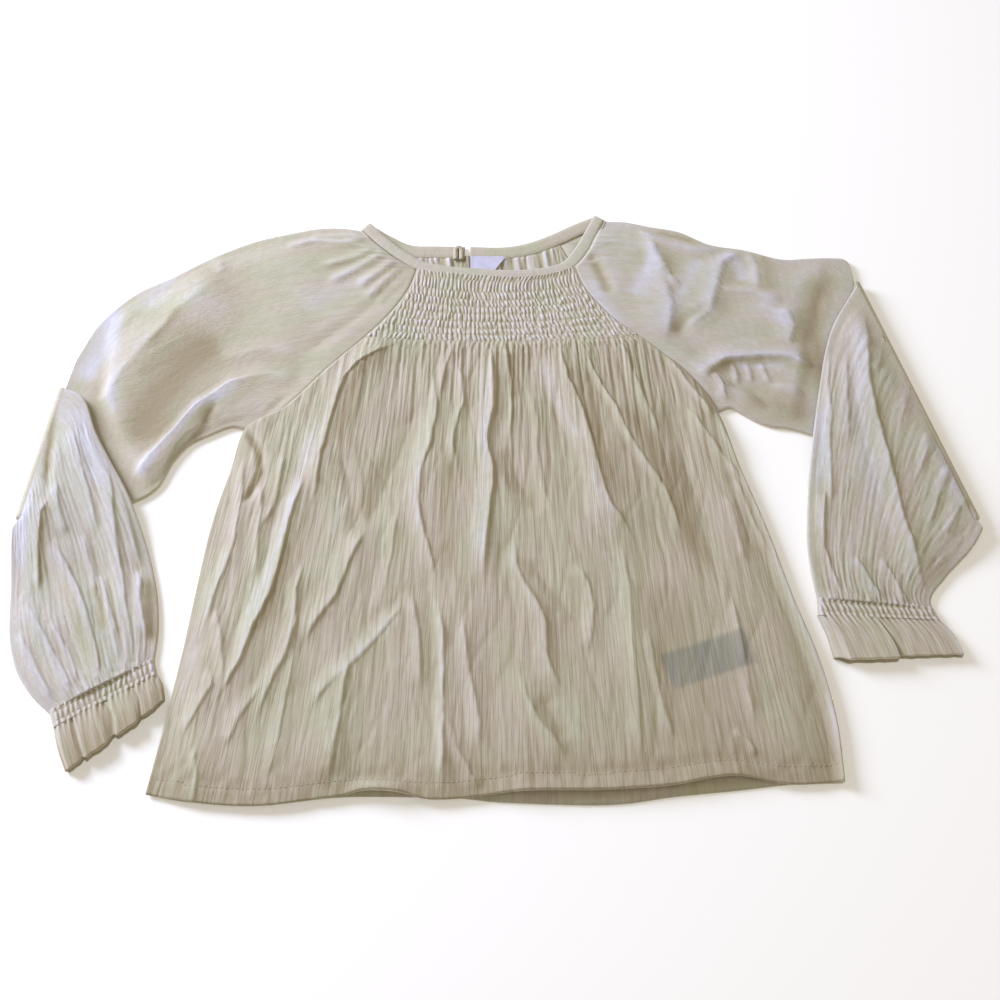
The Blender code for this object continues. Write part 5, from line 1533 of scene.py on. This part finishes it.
def gauze_surface(tree, **inputs):
    """Outputs of the gauze group in a material."""
    group = bpy.data.node_groups.get("Gauze surface") or gauze_group()
    surface = add_node(tree, "Group", {}, node_tree=group)
    set_inputs(tree, surface, {name.replace("_", " "): value for name, value in inputs.items()})
    return surface.outputs


def gauze_material(name, colours, weave):
    """Ecru gauze: painted shade, warmer and darker, where the depth mask is low and in fine creases, and a
    painted highlight, paler and cooler, where it is high. It is greyer where a label lies under it, with
    weave and fine crinkles as bump."""
    fixed = {"Specular IOR Level": 0.25, "Sheen Weight": 0.12, "Sheen Roughness": 0.5}
    finish, tree, shader = new_finish(name, fixed)
    surface = gauze_surface(tree, Crinkle_pitch=weave.pitch, Crinkle_length=weave.length)
    # The depth mask: painted shade below 0, a painted highlight above 0.
    depth = add_node(tree, "Attribute", {}, attribute_name="depth").outputs["Fac"]
    label = add_node(tree, "Attribute", {}, attribute_name="label").outputs["Fac"]
    painted_shade = opaque(colours.painted_shade)
    greener = remapped(tree, surface["Patch"], 0.47, 0.62, 0.0, 0.8)
    pinker = remapped(tree, surface["Patch"], 0.53, 0.38, 0.0, 0.8)
    tint = mixed(tree, greener, opaque(colours.gauze), opaque(colours.green))
    tint = mixed(tree, pinker, tint, opaque(colours.pink))
    # Painted shade in the fine crinkles' creases, and a faint painted highlight on their puffs.
    fine = remapped(tree, surface["Crinkle"], 0.0, 1.0, -0.2, 0.04)
    total = maths(tree, "ADD", depth, fine)
    # Painted shade where the sum is below 0, then a painted highlight, paler and cooler, where it is above 0.
    tint = mixed(tree, remapped(tree, total, 0.0, -0.9), tint, painted_shade)
    tint = mixed(tree, remapped(tree, total, 0.0, 0.8), tint, opaque(colours.crest))
    # Slubs: yarn darker at random, mixed towards the same dark colour.
    slub = remapped(tree, surface["Slub"], 0.3, 0.7)
    tint = mixed(tree, maths(tree, "MULTIPLY", slub, 0.2), tint, painted_shade)
    tint = mixed(tree, maths(tree, "MULTIPLY", label, 0.8), tint, opaque(colours.shadow))
    crinkled = bumped(tree, surface["Crinkle"], 1.0, weave.depth)
    woven = bumped(tree, surface["Weave"], 0.5, 0.0001, Normal=crinkled)
    rough = remapped(tree, surface["Slub"], 0.2, 0.8, 0.82, 0.98)
    set_inputs(tree, shader, {"Base Color": tint, "Roughness": rough, "Normal": woven})
    return finish


def label_material(name, colour):
    """Woven label tape: close, smooth weave with a low sheen."""
    finish, tree, shader = new_finish(name, {"Roughness": 0.55})
    surface = gauze_surface(tree, Thread_pitch=0.0004)
    slub = remapped(tree, surface["Slub"], 0.3, 0.7)
    tint = mixed(tree, slub, opaque(colour), opaque(colour, 0.86))
    set_inputs(tree, shader, {"Base Color": tint, "Normal": bumped(tree, surface["Weave"], 0.4, 0.0001)})
    return finish


def thread_material(name, colour):
    """Sewing thread: twisted strands as a wave along the object's own coordinates."""
    finish, tree, shader = new_finish(name, {"Roughness": 0.7})
    place = add_node(tree, "TexCoord", {}).outputs["Object"]
    strands = add_node(tree, "TexWave", {"Scale": 900.0, "Vector": place}, bands_direction="DIAGONAL")
    strands = strands.outputs["Fac"]
    tint = mixed(tree, strands, opaque(colour, 0.8), opaque(colour))
    set_inputs(tree, shader, {"Base Color": tint, "Normal": bumped(tree, strands, 0.5, 0.00005)})
    return finish


def finish_named(context, name):
    """The finish of that name, made when it is first asked for."""
    if name in bpy.data.materials:
        return bpy.data.materials[name]
    colours = context.scene.blouse_colours
    if name in GAUZES:
        return gauze_material(name, colours, GAUZES[name])
    if name == "Thread":
        return thread_material(name, colours.thread)
    return label_material(name, colours.label_white if name == "Label white" else colours.label_grey)


# ---------------------------------------------------------------- settings, operators and panel


class BlouseSizes(PropertyGroup):
    """Sizes of the cloth's relief, in millimetres or as shares."""

    hem_depth: FloatProperty(
        name="Hem depth", description="Width of the turned hem in millimetres",
        default=12.0
    )
    fold_height: FloatProperty(
        name="Fold height", description="Share of the drawn height of the creases",
        default=1.0
    )
    crinkle_depth: FloatProperty(
        name="Crinkle depth", description="Depth of the crinkles in millimetres",
        default=0.8
    )
    smock_depth: FloatProperty(
        name="Smocking depth", description="Height of a smocked rib in millimetres",
        default=1.5
    )
    stitch: FloatProperty(
        name="Stitch length", description="Length of one stitch in millimetres",
        default=2.4
    )
    thread: FloatProperty(
        name="Thread", description="Thickness of the sewing thread in millimetres",
        default=0.45
    )


class BlouseColours(PropertyGroup):
    """Colours of the cloth, its painted shade and highlight, its labels and its thread."""

    gauze: FloatVectorProperty(
        name="Gauze", description="Cloth on the level", subtype="COLOR", size=3,
        default=(0.605, 0.553, 0.41)
    )
    green: FloatVectorProperty(
        name="Greener", description="Cloth dyed greener", subtype="COLOR", size=3,
        default=(0.55, 0.545, 0.375)
    )
    pink: FloatVectorProperty(
        name="Pinker", description="Cloth dyed pinker", subtype="COLOR", size=3,
        default=(0.62, 0.545, 0.44)
    )
    # Painted shade: the colour that low places and fine creases are shaded towards.
    painted_shade: FloatVectorProperty(
        name="Valley", description="Cloth low in a crease", subtype="COLOR", size=3,
        default=(0.42, 0.35, 0.22)
    )
    # Painted highlight: the colour that high places are lightened towards.
    crest: FloatVectorProperty(
        name="Crest", description="Cloth on a crest", subtype="COLOR", size=3,
        default=(0.73, 0.71, 0.755)
    )
    shadow: FloatVectorProperty(
        name="Shadow", description="Cloth over the care label", subtype="COLOR", size=3,
        default=(0.27, 0.27, 0.22)
    )
    label_white: FloatVectorProperty(
        name="Neck label", description="Blank neck label", subtype="COLOR", size=3,
        default=(0.72, 0.70, 0.84)
    )
    label_grey: FloatVectorProperty(
        name="Care label", description="Blank care label", subtype="COLOR", size=3,
        default=(0.35, 0.37, 0.33)
    )
    thread: FloatVectorProperty(
        name="Thread", description="Sewing thread", subtype="COLOR", size=3,
        default=(0.62, 0.575, 0.46)
    )


class BLOUSE_OT_body(Operator):
    """Adds the back panel, the smocked yoke and the front below it"""

    bl_idname = "blouse.body"
    bl_label = "Add body"

    def execute(self, context):
        sizes = context.scene.blouse_sizes
        gauze = finish_named(context, "Gauze")
        thread = finish_named(context, "Thread")
        build_back(sizes, gauze)
        top = build_skirt(sizes, gauze)
        build_yoke(sizes, gauze)
        hem_y = read(FRONT_HEM, "y", np.linspace(0, 1, top.shape[1]) * (len(FRONT_HEM) - 1))
        above = top[..., 1] - hem_y[None]
        row = np.argmin(np.abs(above - (sizes.hem_depth - STITCH_INSET)), axis=0)
        path = top[row, np.arange(top.shape[1])]
        stitch_line("hem_stitches", path[3:-3], sizes.stitch, 0.9, sizes.thread, thread)
        return {"FINISHED"}


class BLOUSE_OT_sleeves(Operator):
    """Adds both raglan sleeves, folded over at the elbow"""

    bl_idname = "blouse.sleeves"
    bl_label = "Add sleeves"

    def execute(self, context):
        for arm in (RIGHT_ARM, LEFT_ARM):
            build_sleeve(arm, context.scene.blouse_sizes, finish_named(context, "Gauze smooth"))
        return {"FINISHED"}


class BLOUSE_OT_cuffs(Operator):
    """Adds the elastic band and the frill at each wrist"""

    bl_idname = "blouse.cuffs"
    bl_label = "Add cuffs"

    def execute(self, context):
        gauze = finish_named(context, "Gauze")
        pressed = finish_named(context, "Gauze pressed")
        for wrist in WRISTS:
            shape = cuff_shape(wrist.seed)
            elastic = wrist_tube("cuff_elastic_" + wrist.name, wrist.band, ELASTIC_TUBE, shape, 0.0)
            dress(elastic, pressed, "cuff_band_" + wrist.name)
            shape = frill_shape(wrist.seed + 9, wrist.panels)
            ruffle = wrist_tube("cuff_ruffle_" + wrist.name, wrist.frill, RUFFLE_TUBE, shape, wrist.shade)
            dress(ruffle, gauze, "cuff_frill_" + wrist.name)
        return {"FINISHED"}


class BLOUSE_OT_neck(Operator):
    """Adds the neck binding and the button loop"""

    bl_idname = "blouse.neck"
    bl_label = "Add neck"

    def execute(self, context):
        pressed = finish_named(context, "Gauze pressed")
        binding = build_binding(pressed)
        loop = build_loop(pressed)
        return {"FINISHED"}


class BLOUSE_OT_labels(Operator):
    """Adds the two blank labels"""

    bl_idname = "blouse.labels"
    bl_label = "Add labels"

    def execute(self, context):
        white, grey = finish_named(context, "Label white"), finish_named(context, "Label grey")
        build_label("label_at_neck", "neck_label", NECK_LABEL, 3.0, 0.45, 0.3, white)
        build_label("label_for_care", "care_label", CARE_LABEL, 1.5, 0.3, 0.0, grey)
        return {"FINISHED"}


# An area light that shines at the origin. place and size are in metres, and power is in watts.
Lamp = namedtuple("Lamp", "name place size power colour")
LAMPS = [
    Lamp("window", (-1.4, 0.75, 0.8), 0.9, 52.0, (0.66, 0.72, 0.96)),
    Lamp("fill", (1.3, -0.6, 1.8), 2.5, 7.0, (1.0, 0.84, 0.62)),
]


def add_aimed(scene, item, place, direction):
    """Puts a lamp or the camera in the scene, with its -Z along a direction and its +Y up."""
    item.location = place
    item.rotation_euler = direction.to_track_quat("-Z", "Y").to_euler()
    scene.collection.objects.link(item)


class BLOUSE_OT_stage(Operator):
    """Adds the plain floor, the soft light and the camera"""

    bl_idname = "blouse.stage"
    bl_label = "Add stage"

    def execute(self, context):
        scene = context.scene
        bpy.ops.mesh.primitive_plane_add(size=12, location=(0, 0, -0.0002))
        floor = context.object
        floor.name = "floor"
        glow = {"Emission Color": (1, 1, 1, 1), "Emission Strength": 0.22}
        pale, _, _ = new_finish("Pale floor", {"Base Color": (0.92, 0.9, 0.84, 1), "Roughness": 0.9, **glow})
        floor.data.materials.append(pale)
        for lamp in LAMPS:
            data = bpy.data.lights.new(lamp.name, "AREA")
            data.shape = "DISK"
            data.size, data.energy, data.color = lamp.size, lamp.power, lamp.colour
            add_aimed(scene, bpy.data.objects.new(lamp.name, data), lamp.place, -Vector(lamp.place))
        world = bpy.data.worlds.new("Soft daylight")
        world.use_nodes = True
        background = {"Color": (1.0, 0.94, 0.84, 1), "Strength": 0.38}
        set_inputs(world.node_tree, world.node_tree.nodes["Background"], background)
        scene.world = world
        camera = bpy.data.objects.new("camera", bpy.data.cameras.new("camera"))
        camera.data.lens, camera.data.sensor_width = 64.8, 36.0
        add_aimed(scene, camera, (0.0014, -0.611, 1.0392), Vector((0.0, 0.6, -1.0392)))
        scene.camera = camera
        scene.view_settings.view_transform = "Standard"
        return {"FINISHED"}


class BLOUSE_PT_panel(Panel):
    """Lists the steps of the blouse in the 3D view's sidebar"""

    bl_label = "Peasant blouse"
    bl_space_type = "VIEW_3D"
    bl_region_type = "UI"
    bl_category = "Blouse"

    def draw(self, context):
        for operator in OPERATORS:
            self.layout.operator(operator.bl_idname)
        for group in (context.scene.blouse_sizes, context.scene.blouse_colours):
            box = self.layout.box()
            for key in group.__annotations__:
                box.prop(group, key)


OPERATORS = (
    BLOUSE_OT_body,
    BLOUSE_OT_sleeves,
    BLOUSE_OT_cuffs,
    BLOUSE_OT_neck,
    BLOUSE_OT_labels,
    BLOUSE_OT_stage,
)
CLASSES = (BlouseSizes, BlouseColours, *OPERATORS, BLOUSE_PT_panel)


def register():
    for item in CLASSES:
        bpy.utils.register_class(item)
    bpy.types.Scene.blouse_sizes = PointerProperty(type=BlouseSizes)
    bpy.types.Scene.blouse_colours = PointerProperty(type=BlouseColours)


def unregister():
    del bpy.types.Scene.blouse_colours
    del bpy.types.Scene.blouse_sizes
    for item in reversed(CLASSES):
        bpy.utils.unregister_class(item)


def main():
    register()
    bpy.ops.blouse.body()
    bpy.ops.blouse.sleeves()
    bpy.ops.blouse.cuffs()
    bpy.ops.blouse.neck()
    bpy.ops.blouse.labels()
    bpy.ops.blouse.stage()


if __name__ == "__main__":
    main()
